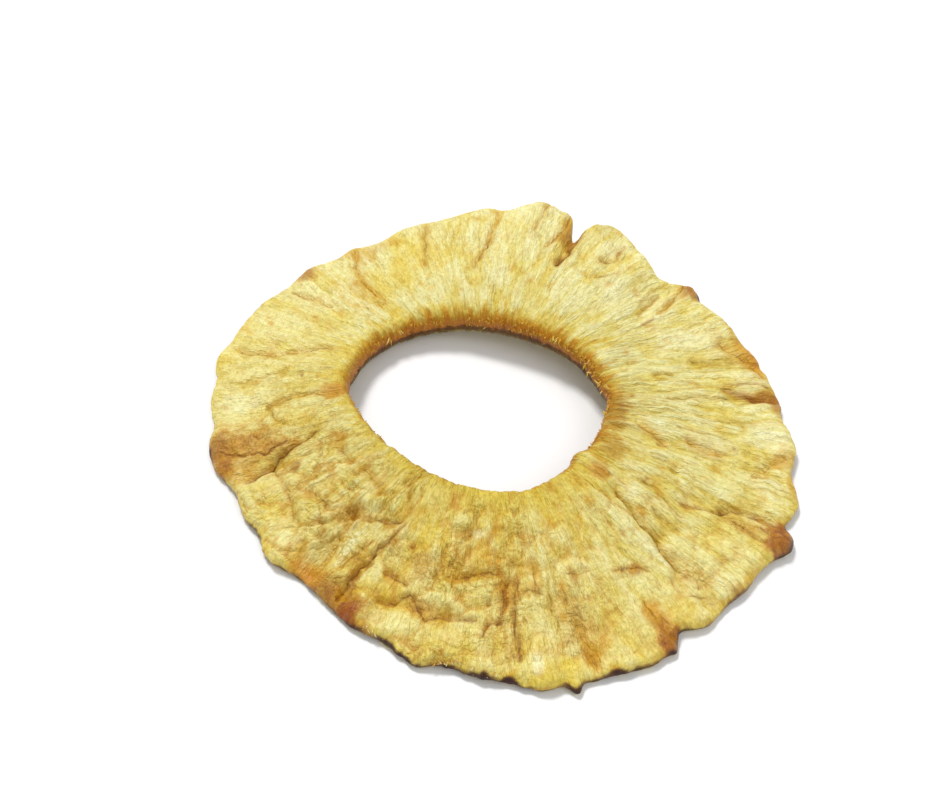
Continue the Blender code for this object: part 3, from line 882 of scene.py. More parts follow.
@dataclass
class FleshField:
    """Fine relief and colour of the flesh, worked out for whole arrays of points."""

    form: SliceForm
    angle: np.ndarray
    across: np.ndarray
    rise: np.ndarray
    upper: np.ndarray
    under_shift: float = 57.0
    wander: float = 0.42 * MM
    pads_around: int = 42
    pad_length: float = 5.2
    pit_width: float = 0.36 * MM
    crease_depth: float = 1.5

    def __post_init__(self) -> None:
        """Works out the plan position that all patches and creases read, wandering a little by noise."""
        self.radius = self.form.radius(self.angle, self.across)
        turn = np.radians(self.angle)
        self.outward = np.stack([np.cos(turn), np.sin(turn)], axis=-1)
        self.plan = self.radius[..., None] * self.outward
        wander = [self.grain(Grain(5.0, 2.6, seed)) + 0.5 * self.grain(Grain(1.8, 1.1, seed + 1)) for seed in (31, 41)]
        self.loose_plan = self.plan + self.wander * np.stack(wander, axis=-1)
        self.fibre_angle = (self.angle + 2.4 * self.grain(Grain(14.0, 9.0, 51))
                            + 0.9 * self.grain(Grain(4.5, 5.0, 52)))

    def grain(self, cell: Grain, angle: np.ndarray | None = None, shift: float | np.ndarray = 0.0) -> np.ndarray:
        """Noise round the slice: x and y are the angle's cosine and sine over the cell's width, z is the radius.

        Args:
            cell: the width, length and seed of the noise.
            angle: angles to read it at, the points' own if left out.
            shift: what is added to the radius, in metres.

        Returns:
            The noise, from -1 to 1.
        """
        turn = np.radians(self.angle if angle is None else angle)
        reach = 1.0 / math.radians(cell.pitch)
        depth = (self.radius + shift) / (cell.length * MM) + np.where(self.upper, 0.0, self.under_shift)
        return GradientNoise(cell.seed).at(np.stack([np.cos(turn) * reach, np.sin(turn) * reach, depth], axis=-1))

    def billow(self, cell: Grain, angle: np.ndarray, shift: float | np.ndarray = 0.0) -> np.ndarray:
        """Puffed forms with sharp valleys: three times the size of a noise, at most 2, less one half."""
        return np.minimum(3.0 * np.abs(self.grain(cell, angle, shift)), 2.0) - 0.5

    def within(self, sector: Sector) -> np.ndarray:
        """Bell curve over the angle from a sector's middle."""
        return np.exp(-0.5 * (angle_gap(self.angle, sector.centre) / sector.spread) ** 2)

    def patch(self, stain: Stain) -> np.ndarray:
        """Bell curve of a stain, with the wandering of the loose plan."""
        return patch_bell(self.loose_plan, self.form.spot(stain.centre), stain)

    def crease_bell(self, crease: Crease, widen: float) -> np.ndarray:
        """Bell curve over the distance to a crease's chain of lines.

        Args:
            crease: the crease.
            widen: a factor on its width.

        Returns:
            Values from 0 to 1.
        """
        spots = [self.form.spot(place) for place in crease.spots]
        gap = np.min([line_gap(self.loose_plan, a, b) for a, b in zip(spots, spots[1:])], axis=0)
        return np.exp(-(gap / (crease.width * MM * widen)) ** 2)

    def crease_sides(self) -> np.ndarray:
        """Side and distance of the nearest crease, from which the finish draws its hairline.

        Returns:
            Signed distance to the crease's straight line, plain distance to the crease, both in millimetres, and the
            crease's strength, on the last axis.
        """
        best = np.zeros(self.angle.shape + (3,))
        best[..., :2] = 99.0
        for crease in CREASES:
            spots = [self.form.spot(place) for place in crease.spots]
            for start, end in zip(spots, spots[1:]):
                run = (end - start) / np.linalg.norm(end - start)
                offset = self.loose_plan - start
                side = (offset[..., 1] * run[0] - offset[..., 0] * run[1]) / MM
                gap = line_gap(self.loose_plan, start, end) / MM
                nearer = gap < best[..., 1]
                found = np.stack([side, gap, np.full_like(gap, crease.strength)], axis=-1)
                best = np.where(nearer[..., None], found, best)
        best[..., 2] *= self.upper
        return best

    def measure(self) -> None:
        """Works out what both the relief and the colour use, the edges first, because the rest reads them."""
        self.measure_edges()
        self.measure_fibres()
        self.measure_pads()
        self.measure_spots()

    def measure_edges(self) -> None:
        """Distances from the hole and the rim in millimetres, their ragged noise, rind scraps and broad blotches."""
        width = (self.form.rim_radius(self.angle) - self.form.hole_radius(self.angle)) / MM
        self.depth = self.across * width
        self.edge = (1.0 - self.across) * width
        self.ragged = self.grain(Grain(3.0, 2.2, 71)) + 0.6 * self.grain(Grain(1.2, 1.2, 72))
        strip = self.within(RIND_STRIP) * (0.50 + 0.7 * self.grain(Grain(4.5, 60.0, 91)))
        self.rind = np.clip(lobe_sum(self.angle, RINDS) / MM + np.maximum(strip, 0.0), 0.0, 1.1)
        self.burnt = np.clip(1.3 * self.rind, 0.0, 1.0)
        self.blotch = self.grain(Grain(9.0, 5.5, 68)) + 0.5 * self.grain(Grain(4.0, 2.6, 69))
        self.lumps = self.billow(Grain(5.0, 3.4, 74), self.angle)

    def measure_fibres(self) -> None:
        """Radial fibres, their gathering at the hole, and the wrinkles across them."""
        self.fibre_wide = self.billow(Grain(4.2, 17.0, 61), self.fibre_angle)
        self.fibre_fine = self.billow(Grain(1.7, 9.0, 62), self.fibre_angle)
        self.streak = np.clip(0.7 * self.fibre_wide + 0.5 * self.fibre_fine, -0.7, 1.0)
        self.fibre_share = 0.34 + 0.60 * np.maximum(self.within(RIDGED_RIGHT), 0.15 * self.within(RIDGED_FAR))
        self.gather = self.grain(Grain(1.7, 12.0, 73), self.fibre_angle) * smooth_step(7.0 - self.depth, 0.0, 4.5)
        self.gather *= 0.10 + 0.90 * self.within(GATHERED)
        wrinkled = np.clip(self.within(WRINKLED_LEFT) + 0.5 * self.within(WRINKLED_NEAR), 0.0, 1.0)
        self.cross_place = (0.10 + 0.90 * wrinkled) * smooth_step(self.grain(Grain(12.0, 6.0, 65)), -0.5, 0.4)
        meander = 1.8 * MM * self.grain(Grain(9.0, 9.0, 53))
        self.cross = self.cross_place * self.billow(Grain(7.5, 2.3, 66), self.fibre_angle, meander)

    def measure_pads(self) -> None:
        """Puffed pads between cell borders that wander, where they show, and the fine pucker over them."""
        puffed = self.within(PADDED_LEFT) + self.within(PADDED_NEAR) + 0.5 * self.within(PADDED_RIGHT)
        self.pad_share = 0.14 + 0.86 * np.clip(puffed, 0.0, 1.0)
        self.pad_share *= smooth_step(self.grain(Grain(14.0, 9.0, 92)), -0.7, 0.1)
        self.pad_share *= smooth_step(self.depth, 2.0, 6.0) * self.upper
        turn = self.angle + 2.2 * self.grain(Grain(5.0, 3.4, 93)) + 0.9 * self.grain(Grain(1.8, 1.3, 94))
        row = self.radius / MM + 1.1 * self.grain(Grain(5.0, 3.4, 95)) + 0.4 * self.grain(Grain(1.8, 1.3, 96))
        cell = np.stack([turn * self.pads_around / FULL_TURN, row / self.pad_length], axis=-1)
        self.pad_gap = CellNoise(97, self.pads_around).border(cell)
        self.pucker = self.billow(Grain(2.2, 1.2, 67), self.angle)

    def measure_spots(self) -> None:
        """Crumpled skin where tan stains lie, scabs with a crisp outline, and pits."""
        crumpled = sum(stain.strength * self.patch(stain) for stain in STAINS if stain.tint in CRUMPLED)
        self.crumple = np.clip(crumpled, 0.0, 1.0)
        scabs = [smooth_step(self.patch(stain) + 0.2 * self.ragged, 0.30, 0.42)
                 for stain in STAINS if stain.strength > SCAB_STRENGTH]
        self.scab = np.max(scabs, axis=0) * self.upper
        gaps = [np.linalg.norm(self.loose_plan - self.form.spot(place), axis=-1) for place in PITS]
        self.pits = sum(np.exp(-(gap / self.pit_width) ** 2) for gap in gaps)

    def relief(self) -> np.ndarray:
        """Fine relief over the smooth faces: a weighted sum of the measures, less a groove with lips at each crease.

        Returns:
            The heights in metres.
        """
        height = self.fibre_share * (0.30 * self.fibre_wide + 0.13 * self.fibre_fine) + 0.38 * self.cross
        height += 0.10 * self.lumps + 0.38 * self.pad_share * (smooth_step(self.pad_gap, 0.0, 0.36) - 0.7)
        height += (0.06 + 0.13 * self.crumple + 0.16 * self.scab) * self.pucker + 0.22 * self.scab
        height += 0.16 * self.gather + 0.16 * self.blotch - 0.38 * self.pits
        for crease in CREASES:
            groove = self.crease_bell(crease, 1.0) - 0.35 * self.crease_bell(crease, 3.2)
            height -= self.crease_depth * crease.depth * groove * self.upper
        return height * MM

    def marks(self) -> np.ndarray:
        """Shares from 0 to 1 of cross wrinkles, of crumpled skin, and of straight fibres."""
        pucker_place = np.clip(0.56 - 0.38 * self.fibre_share + 0.62 * self.crumple, 0.0, 1.0)
        return np.stack([self.cross_place, pucker_place, self.fibre_share], axis=-1)

    def colour(self) -> np.ndarray:
        """Linear colour of every point: straw, and then each group of tints over the ones before.

        Returns:
            Red, green and blue on the last axis.
        """
        self.shade = np.zeros(self.angle.shape + (3,)) + STRAW.linear()
        self.tint_flesh()
        self.tint_hole_band()
        self.tint_fibres()
        self.tint_pads()
        self.tint_stains()
        self.tint_creases()
        self.tint_walls()
        self.tint_underside()
        return self.shade

    def lay(self, tint: Tint, strength: np.ndarray) -> None:
        """Lays a tint over the shade that is there, by its strength from 0 to 1."""
        part = np.clip(strength, 0.0, 1.0)[..., None]
        self.shade = self.shade * (1.0 - part) + tint.linear() * part

    def ease(self, tint: Tint, weight: float | np.ndarray, value: np.ndarray, start: float, full: float) -> None:
        """Lays a tint by its weight times the eased rise of a value from `start` to `full`."""
        self.lay(tint, weight * smooth_step(value, start, full))

    def tint_flesh(self) -> None:
        """Pale and cream blotches, which also lie along the fibres' streaks as a painted highlight, and golden and
        amber on the near side and towards the hole.
        """
        ragged, streak, deeper = self.ragged, self.streak, self.within(DEEPER_LEFT)
        # Pale and cream follow the blotches, and also the streaks, where they are a painted highlight on the fibres'
        # ridges.
        self.ease(PALE, 1.0 - 0.50 * deeper, self.blotch + 0.5 * streak, -0.5, 0.3)
        self.ease(CREAM, 0.45 - 0.25 * deeper, 0.6 * streak + 0.6 * self.blotch, 0.05, 0.7)
        self.ease(GOLD, 0.3, -self.blotch + 0.5 * ragged, 0.1, 0.8)
        near_hole = self.within(GOLDEN_HOLE) * smooth_step(10.0 - self.depth + 3.0 * ragged, 0.0, 6.0)
        self.lay(GOLD, 0.8 * near_hole)
        self.lay(GOLD, 0.35 * self.within(GOLDEN_NEAR))
        inland = smooth_step(self.edge, 1.0, 6.0)
        self.ease(AMBER, 0.24 * inland * self.within(AMBER_NEAR), -self.blotch + 0.4 * ragged, -0.3, 0.5)
        self.ease(GOLD, 0.75, 4.6 - self.depth + 1.6 * ragged - 0.8 * streak, 0.0, 3.4)

    def tint_hole_band(self) -> None:
        """Amber and orange band on the hole's shoulder, as wide as its sectors say, streaked by the gathers."""
        depth, ragged = self.depth, self.ragged
        band = 1.1 + 1.3 * self.within(BAND_FAR) + 1.6 * self.within(BAND_RIGHT) + 0.9 * self.within(BAND_LEFT)
        self.ease(AMBER, 0.75, band - depth + 0.9 * ragged - 2.4 * self.gather, 0.0, 1.8)
        self.ease(ORANGE, 0.75, 0.60 * band - depth + 0.6 * ragged - 2.0 * self.gather, 0.0, 1.4)
        streaked = smooth_step(band + 1.0 - depth, 0.0, 2.5)
        self.ease(STRAW, 0.55 * streaked, self.gather, 0.12, 0.45)
        self.ease(RUST, 0.45 * streaked, -self.gather, 0.12, 0.45)

    def tint_fibres(self) -> None:
        """Golden rim, golden and olive valleys between the fibres, and amber in the wrinkles across them."""
        self.ease(GOLD, 0.5, 1.6 - self.edge + 0.9 * self.ragged, 0.0, 1.6)
        combed = 0.25 + 0.75 * self.fibre_share
        self.ease(GOLD, 0.45 * combed, -self.fibre_wide, 0.05, 0.5)
        wide, fine = smooth_step(-self.fibre_wide, 0.30, 0.5), smooth_step(-self.fibre_fine, 0.25, 0.5)
        self.lay(OLIVE, combed * (0.38 * wide + 0.22 * fine))
        self.ease(AMBER, 0.7 * self.cross_place, 0.5 - self.cross / (self.cross_place + 0.05), 0.55, 1.0)

    def tint_pads(self) -> None:
        """Amber between lumps; amber and brown in the pads' gaps, partly their own colour and partly painted shade; and
        pale on the pads' middles as a painted highlight.
        """
        hollow = smooth_step(-self.lumps, 0.28, 0.5)
        self.ease(AMBER, (0.30 - 0.22 * self.within(SMOOTH_RIGHT)) * hollow, -self.blotch, -0.4, 0.4)
        # Painted highlight: pale on the pads' middles.
        self.ease(PALE, 0.60 * self.pad_share, self.pad_gap + 0.15 * self.ragged, 0.30, 0.70)
        # Amber and brown in the pads' gaps: partly their own colour, partly painted shade.
        self.ease(AMBER, 0.70 * self.pad_share, -self.pad_gap, -0.18, 0.0)
        self.ease(BROWN, 0.32 * self.pad_share, 0.20 * self.ragged - self.pad_gap, -0.08, 0.04)

    def tint_stains(self) -> None:
        """Golden wall of the rim, and over it torn stains: burnt ones in an amber halo, rusty scabs in an orange, with
        dark in their puckers' hollows and pink-tan on the crests as painted shade and painted highlight.
        """
        rim_wall = (1.0 - self.rise) * (self.across > 0.5)
        self.ease(GOLD, 0.45, rim_wall + 0.25 * self.ragged, 0.2, 0.6)
        self.ease(AMBER, 0.5, rim_wall + 0.3 * self.ragged, 0.6, 0.95)
        for stain in STAINS:
            bell = self.patch(stain)
            torn = bell * (1.0 - 0.25 * self.streak) + 0.25 * self.ragged * smooth_step(bell, 0.02, 0.3)
            strength = stain.strength * self.upper
            if stain.strength > SCAB_STRENGTH:
                self.ease(ORANGE, 0.5 * self.upper, torn, 0.12, 0.40)
            else:
                if stain.tint in BURNT:
                    self.ease(AMBER, 0.6 * strength, torn, 0.05, 0.45)
                self.ease(stain.tint, strength, torn, 0.22, 0.22 + (0.9 - 0.4 * stain.strength))
        self.lay(RUST, 0.92 * self.scab)
        # In the scabs: dark in the pucker's hollows, partly the scab's own dark and partly painted shade, and pink-tan
        # on its crests as a painted highlight.
        self.ease(DARK, 0.45 * self.scab, 0.4 * self.ragged - self.pucker, -0.1, 0.5)
        self.ease(PINK_TAN, 0.55 * self.scab, self.pucker + 0.3 * self.ragged, 0.5, 1.2)
        self.ease(BROWN, 0.3 * self.crumple, -self.pucker, 0.1, 0.5)

    def tint_creases(self) -> None:
        """Each crease's own broken line in a wider amber halo, and brown pits."""
        broken = np.clip(0.85 + 0.5 * self.ragged, 0.2, 1.0)
        for crease in CREASES:
            strength = crease.strength * self.upper
            self.lay(AMBER, 0.48 * strength * self.crease_bell(crease, 2.2))
            self.lay(crease.tint, strength * self.crease_bell(crease, 1.0) * broken)
        self.lay(BROWN, 0.75 * self.pits)

    def tint_walls(self) -> None:
        """Coats down the hole's wall, its rust and dark foot partly its own colour and partly painted shade, and a
        brown to dark foot on the rim's wall where rind is left.
        """
        wall, ragged, burnt = 1.0 - self.rise, self.ragged, self.burnt
        hole_wall = wall * (self.across < 0.5) + 0.25 * ragged - 0.3 * self.gather
        # Rust and dark at the hole wall's foot: partly its own colour, partly painted shade.
        for coat in HOLE_WALL:
            self.ease(coat.tint, coat.weight, hole_wall, coat.start, coat.full)
        rim_wall = wall * (self.across > 0.5)
        self.ease(BROWN, 0.2 + 0.8 * burnt, rim_wall + 0.3 * ragged + 0.2 * burnt, 0.75, 1.0)
        self.ease(DARK, burnt, rim_wall + 0.25 * ragged + 0.1 * burnt, 0.65, 0.95)

    def tint_underside(self) -> None:
        """Golden and amber underside, with painted shade along the rim and the hole, darker still where rind is left.
        """
        below, ragged, burnt = (~self.upper) * 1.0, self.ragged, self.burnt
        self.lay(GOLD, 0.35 * below)
        self.ease(AMBER, 0.45 * below, self.blotch + 0.3 * ragged, -0.2, 0.7)
        # Dark along the rim and the hole below: painted shade under the slice, partly dark rind where rind is left.
        self.ease(DARK, below * (0.6 + 0.4 * burnt), 1.6 - self.edge + 0.8 * ragged, 0.0, 2.0)
        self.ease(DARK, 0.75 * below, 1.4 - self.depth + 0.6 * ragged, 0.0, 1.4)


def set_attribute(mesh: bpy.types.Mesh, name: str, kind: str, values: np.ndarray) -> None:
    """Stores one value for each vertex.

    Args:
        mesh: the mesh.
        name: the attribute's name.
        kind: FLOAT_VECTOR or FLOAT_COLOR.
        values: an array with a row for each vertex.
    """
    if kind == "FLOAT_COLOR":
        layer = mesh.color_attributes.new(name, kind, "POINT")
        opaque = np.hstack([values, np.ones((len(values), 1))])
        layer.data.foreach_set("color", opaque.astype(np.float32).ravel())
    else:
        layer = mesh.attributes.new(name, kind, "POINT")
        layer.data.foreach_set("vector", values.astype(np.float32).ravel())


def mesh_object(name: str, points: np.ndarray, faces: np.ndarray) -> bpy.types.Object:
    """A smooth mesh object at the origin, from arrays.

    Args:
        name: name of the object and its mesh.
        points: one row of x, y, z for each vertex.
        faces: vertex numbers, one row for each face.

    Returns:
        The object, linked to the scene.
    """
    mesh = bpy.data.meshes.new(name)
    sides = faces.shape[1]
    mesh.vertices.add(len(points))
    mesh.vertices.foreach_set("co", points.astype(np.float32).ravel())
    mesh.loops.add(faces.size)
    mesh.loops.foreach_set("vertex_index", faces.astype(np.int32).ravel())
    mesh.polygons.add(len(faces))
    mesh.polygons.foreach_set("loop_start", np.arange(0, faces.size, sides, dtype=np.int32))
    mesh.update(calc_edges=True)
    mesh.validate()
    mesh.shade_smooth()
    piece = bpy.data.objects.new(name, mesh)
    bpy.context.scene.collection.objects.link(piece)
    return piece


@dataclass(frozen=True)
class NodeDesk:
    """Places and links shader nodes in one material."""

    material: bpy.types.Material

    def add(self, kind: str, inputs: dict | None = None, **settings: object) -> Node:
        """Adds a node.

        Args:
            kind: the node's type name.
            inputs: values or sockets, by the input's name or number.
            settings: the node's own properties.

        Returns:
            The node.
        """
        node = self.material.node_tree.nodes.new(kind)
        for key, value in settings.items():
            setattr(node, key, value)
        for key, value in (inputs or {}).items():
            if isinstance(value, Socket):
                self.material.node_tree.links.new(value, node.inputs[key])
            else:
                node.inputs[key].default_value = value
        return node

    def shader(self) -> Node:
        """The material's Principled shader."""
        return self.material.node_tree.nodes["Principled BSDF"]

    def link(self, source: Socket, target: Socket) -> None:
        """Links one socket to another."""
        self.material.node_tree.links.new(source, target)

    def tint(self) -> Socket:
        """The mesh's own tint."""
        return self.add("ShaderNodeAttribute", attribute_name="tint", attribute_type="GEOMETRY").outputs["Color"]

    def attribute(self, name: str) -> Socket:
        """The vector of a mesh attribute."""
        return self.add("ShaderNodeAttribute", attribute_name=name, attribute_type="GEOMETRY").outputs["Vector"]

    def noise(self, place: Socket, weave: Weave) -> Node:
        """A noise node that reads a place through a weave.

        Args:
            place: the coordinates.
            weave: the noise's scale on each axis, octaves and roughness.

        Returns:
            The noise node.
        """
        mapping = self.add("ShaderNodeMapping", {"Vector": place, "Scale": weave.scale})
        return self.add("ShaderNodeTexNoise", {"Vector": mapping.outputs["Vector"], "Scale": 1.0,
                                               "Detail": weave.octaves, "Roughness": weave.rough})

    def grey(self, place: Socket, weave: Weave) -> Socket:
        """The value of a weave's noise."""
        return self.noise(place, weave).outputs["Fac"]

    def swayed(self, place: Socket, sway: Socket, reach: tuple) -> Socket:
        """A coordinate shifted by a noise's colour less its mean of one half, times a reach on each axis.

        Args:
            place: the coordinates.
            sway: the noise's colour.
            reach: the shift on each axis at a full noise.

        Returns:
            The shifted coordinates.
        """
        centred = self.add("ShaderNodeVectorMath", {0: sway, 1: (0.5, 0.5, 0.5)}, operation="SUBTRACT")
        node = self.add("ShaderNodeVectorMath", {0: centred.outputs["Vector"], 1: reach, 2: place},
                        operation="MULTIPLY_ADD")
        return node.outputs["Vector"]

    def centred(self, value: Socket) -> Socket:
        """A value less one half, a noise's mean."""
        return self.add("ShaderNodeMath", {0: value, 1: 0.5}, operation="SUBTRACT").outputs["Value"]

    def size(self, value: Socket) -> Socket:
        """A value without its sign."""
        return self.add("ShaderNodeMath", {0: value}, operation="ABSOLUTE").outputs["Value"]

    def billow(self, place: Socket, weave: Weave) -> Socket:
        """Puffed forms with sharp valleys: how far a weave's noise is from one half, times a gain."""
        return self.product(self.size(self.centred(self.grey(place, weave))), BILLOW_GAIN)

    def product(self, first: object, second: object) -> Socket:
        """Two values, or sockets, multiplied."""
        return self.add("ShaderNodeMath", {0: first, 1: second}, operation="MULTIPLY").outputs["Value"]

    def ranged(self, value: Socket, source: tuple, target: tuple) -> Socket:
        """Maps a value from one range to another, eased and clamped.

        Args:
            value: the socket to read.
            source: lowest and highest value read.
            target: what they become.

        Returns:
            The result's socket.
        """
        node = self.add("ShaderNodeMapRange", {"Value": value, "From Min": source[0], "From Max": source[1],
                                               "To Min": target[0], "To Max": target[1]},
                        interpolation_type="SMOOTHSTEP")
        return node.outputs["Result"]

    def mixed(self, factor: Socket, first: object, second: object, blend: str) -> Socket:
        """Mixes two colours.

        Args:
            factor: the mix factor's socket.
            first: colour or socket.
            second: colour or socket.
            blend: the blend type, such as MULTIPLY.

        Returns:
            The result's socket.
        """
        node = self.add("ShaderNodeMix", data_type="RGBA", blend_type=blend)
        for name, value in (("Factor_Float", factor), ("A_Color", first), ("B_Color", second)):
            socket = next(s for s in node.inputs if s.identifier == name)
            if isinstance(value, Socket):
                self.link(value, socket)
            else:
                socket.default_value = value
        return next(s for s in node.outputs if s.identifier == "Result_Color")

    def toned(self, factor: Socket, colour: Socket, tone: tuple) -> Socket:
        """A colour multiplied by a tone where a factor says so."""
        return self.mixed(factor, colour, tone, "MULTIPLY")

    def summed(self, first: Socket, second: Socket, weight: float) -> Socket:
        """First socket plus the second times a weight."""
        node = self.add("ShaderNodeMath", {0: second, 1: weight, 2: first}, operation="MULTIPLY_ADD")
        return node.outputs["Value"]


class Wrinkle(NamedTuple):
    """One kind of wrinkle in the flesh's shader: its relief, where it shows, and how high it stands."""

    relief: Socket
    share: Socket
    height: float


@dataclass(frozen=True)
class DriedFlesh:
    """Finish of the flesh: the mesh's own tints, finer fibres and wrinkles by noise, and a soft waxy gloss.

    The `grain` attribute holds the direction and the radius, so a weave on it is far longer along the fibres than
    over them. Each relief paints shade into its valleys and a highlight onto its crests, and raises the surface by its
    height in millimetres.
    """

    name: str = "dried_flesh"
    roughness: Pair = (0.46, 0.27)
    subsurface: float = 0.07
    subsurface_scale: float = 0.8 * MM
    subsurface_radius: Triple = (1.0, 0.55, 0.18)
    specular: float = 0.48
    refraction: float = 1.45
    coat: float = 0.04
    coat_roughness: float = 0.30
    sway: Weave = Weave((330.0, 330.0, 330.0), 2.0)
    sway_reach: Triple = (0.03, 0.03, 0.0012)
    drift: Weave = Weave((200.0, 200.0, 200.0), 2.0)
    drift_reach: Triple = (0.10, 0.10, 0.0065)
    hair: Weave = Weave((92.0, 92.0, 150.0), 3.0, 0.75)
    grit: Weave = Weave((1900.0, 1900.0, 1900.0), 2.0, 0.7)
    strand: Weave = Weave((36.0, 36.0, 85.0), 3.0, 0.5)
    cross: Weave = Weave((13.0, 13.0, 820.0), 3.0, 0.5)
    pucker: Weave = Weave((760.0, 760.0, 760.0), 2.0, 0.5)
    crinkle: Weave = Weave((44.0, 44.0, 340.0), 3.0, 0.55)
    calm: Weave = Weave((170.0, 170.0, 170.0), 1.0)
    shiver: Weave = Weave((430.0, 430.0, 430.0), 3.0)
    tear: Weave = Weave((260.0, 260.0, 260.0), 2.0)
    hair_height: float = 0.30
    grit_height: float = 0.10
    strand_height: float = 0.19
    crinkle_height: float = 0.12
    cleft_depth: float = 0.13
    cross_height: float = 0.15
    pucker_height: float = 0.18
    # Tones laid over the tint by the reliefs: valley_shade and furrow_shade are painted shade in the hollows, glint and
    # crest_highlight are painted highlights on the ridges.
    valley_shade: Colour = (0.90, 0.86, 0.62, 1.0)
    furrow_shade: Colour = (0.74, 0.58, 0.27, 1.0)
    glint: Colour = (1.05, 1.07, 1.09, 1.0)
    cleft: Colour = (0.50, 0.35, 0.14, 1.0)
    crest_highlight: Colour = (1.04, 1.07, 1.09, 1.0)

    def hairline(self, desk: NodeDesk, where: Socket) -> Socket:
        """A thin torn line in the middle of each crease, from the `crease` attribute.

        Args:
            desk: the material's desk.
            where: the object's coordinates.

        Returns:
            The line's strength from 0 to 1.
        """
        seam = desk.add("ShaderNodeSeparateXYZ", {"Vector": desk.attribute("crease")}).outputs
        off_line = desk.size(desk.summed(seam["X"], desk.centred(desk.grey(where, self.shiver)), 0.5))
        torn = desk.ranged(desk.grey(where, self.tear), (0.40, 0.60), (0.12, 1.0))
        near_line = desk.ranged(off_line, (0.17, 0.03), (0.0, 1.0))
        near_crease = desk.ranged(seam["Y"], (0.75, 0.30), (0.0, 1.0))
        return desk.product(desk.product(desk.product(near_line, near_crease), seam["Z"]), torn)

    def build(self) -> bpy.types.Material:
        """Makes the material.

        Returns:
            The material.
        """
        material = bpy.data.materials.new(self.name)
        material.use_nodes = True
        desk = NodeDesk(material)
        shader = desk.shader()
        marks = desk.add("ShaderNodeSeparateXYZ", {"Vector": desk.attribute("marks")}).outputs
        where = desk.add("ShaderNodeTexCoord").outputs["Object"]
        grain = desk.attribute("grain")
        place = desk.swayed(grain, desk.noise(where, self.sway).outputs["Color"], self.sway_reach)
        bent = desk.swayed(grain, desk.noise(where, self.drift).outputs["Color"], self.drift_reach)
        hair, grit = desk.grey(place, self.hair), desk.grey(where, self.grit)
        crinkle, strand = desk.billow(place, self.crinkle), desk.billow(place, self.strand)
        calm = desk.product(desk.ranged(desk.grey(where, self.calm), (0.35, 0.65), (0.35, 1.0)), marks["Z"])
        wrinkles = (
            Wrinkle(strand, calm, self.strand_height),
            Wrinkle(desk.billow(bent, self.cross), marks["X"], self.cross_height),
            Wrinkle(desk.billow(where, self.pucker), marks["Y"], self.pucker_height),
        )
        hairline = self.hairline(desk, where)
        colour = desk.tint()
        # Painted shade in the hollows of the hair, grit and crinkle, and painted highlights on the hair's crests and
        # the crinkle's ridges.
        for relief, source, most, tone in (
            (hair, (0.52, 0.36), 0.75, self.valley_shade),
            (hair, (0.52, 0.66), 0.9, self.crest_highlight),
            (grit, (0.48, 0.30), 0.4, self.valley_shade),
            (crinkle, (0.30, 0.0), 0.6, self.glint),
            (crinkle, (0.8, 1.8), 0.7, self.valley_shade),
        ):
            colour = desk.toned(desk.ranged(relief, source, (0.0, most)), colour, tone)
        # Painted shade, soft and sharp, in each wrinkle's hollows.
        for wrinkle in wrinkles:
            soft = desk.ranged(wrinkle.relief, (0.9, 0.0), (0.0, 0.8))
            colour = desk.toned(desk.product(soft, wrinkle.share), colour, self.valley_shade)
            sharp = desk.ranged(wrinkle.relief, (0.24, 0.0), (0.0, 0.82))
            colour = desk.toned(desk.product(sharp, wrinkle.share), colour, self.furrow_shade)
        # Painted highlight on the strands' crests.
        colour = desk.toned(desk.ranged(strand, (0.9, 1.8), (0.0, 0.8)), colour, self.crest_highlight)
        colour = desk.toned(desk.product(hairline, 0.95), colour, self.cleft)
        height = desk.summed(desk.product(hair, self.hair_height), grit, self.grit_height)
        for wrinkle in wrinkles:
            height = desk.summed(height, desk.product(wrinkle.relief, wrinkle.share), wrinkle.height)
        height = desk.summed(desk.summed(height, crinkle, -self.crinkle_height), hairline, -self.cleft_depth)
        bump = desk.add("ShaderNodeBump", {"Height": height, "Strength": 1.0, "Distance": MM})
        desk.link(colour, shader.inputs["Base Color"])
        desk.link(desk.ranged(strand, (0.2, 1.4), self.roughness), shader.inputs["Roughness"])
        desk.link(bump.outputs["Normal"], shader.inputs["Normal"])
        for socket, value in {
            "Subsurface Weight": self.subsurface,
            "Subsurface Radius": self.subsurface_radius,
            "Subsurface Scale": self.subsurface_scale,
            "Coat Weight": self.coat,
            "Coat Roughness": self.coat_roughness,
            "IOR": self.refraction,
            "Specular IOR Level": self.specular,
        }.items():
            shader.inputs[socket].default_value = value
        return material


@dataclass(frozen=True)
class StrandFinish:
    """Finish of the loose fibres: the strand's own tint, darker towards its root."""

    name: str = "loose_fibre"
    roughness: float = 0.45
    subsurface: float = 0.1
    subsurface_scale: float = 0.5 * MM
    fleck_scale: float = 2500.0
    fleck: Colour = (0.75, 0.55, 0.3, 1.0)

    def build(self) -> bpy.types.Material:
        """Makes the material.

        Returns:
            The material.
        """
        material = bpy.data.materials.new(self.name)
        material.use_nodes = True
        desk = NodeDesk(material)
        where = desk.add("ShaderNodeTexCoord").outputs["Object"]
        noise = desk.add("ShaderNodeTexNoise", {"Vector": where, "Scale": self.fleck_scale, "Detail": 2.0})
        flecked = desk.toned(desk.ranged(noise.outputs["Fac"], (0.6, 0.3), (0.0, 0.6)), desk.tint(), self.fleck)
        shader = desk.shader()
        desk.link(flecked, shader.inputs["Base Color"])
        shader.inputs["Roughness"].default_value = self.roughness
        shader.inputs["Subsurface Weight"].default_value = self.subsurface
        shader.inputs["Subsurface Scale"].default_value = self.subsurface_scale
        return material


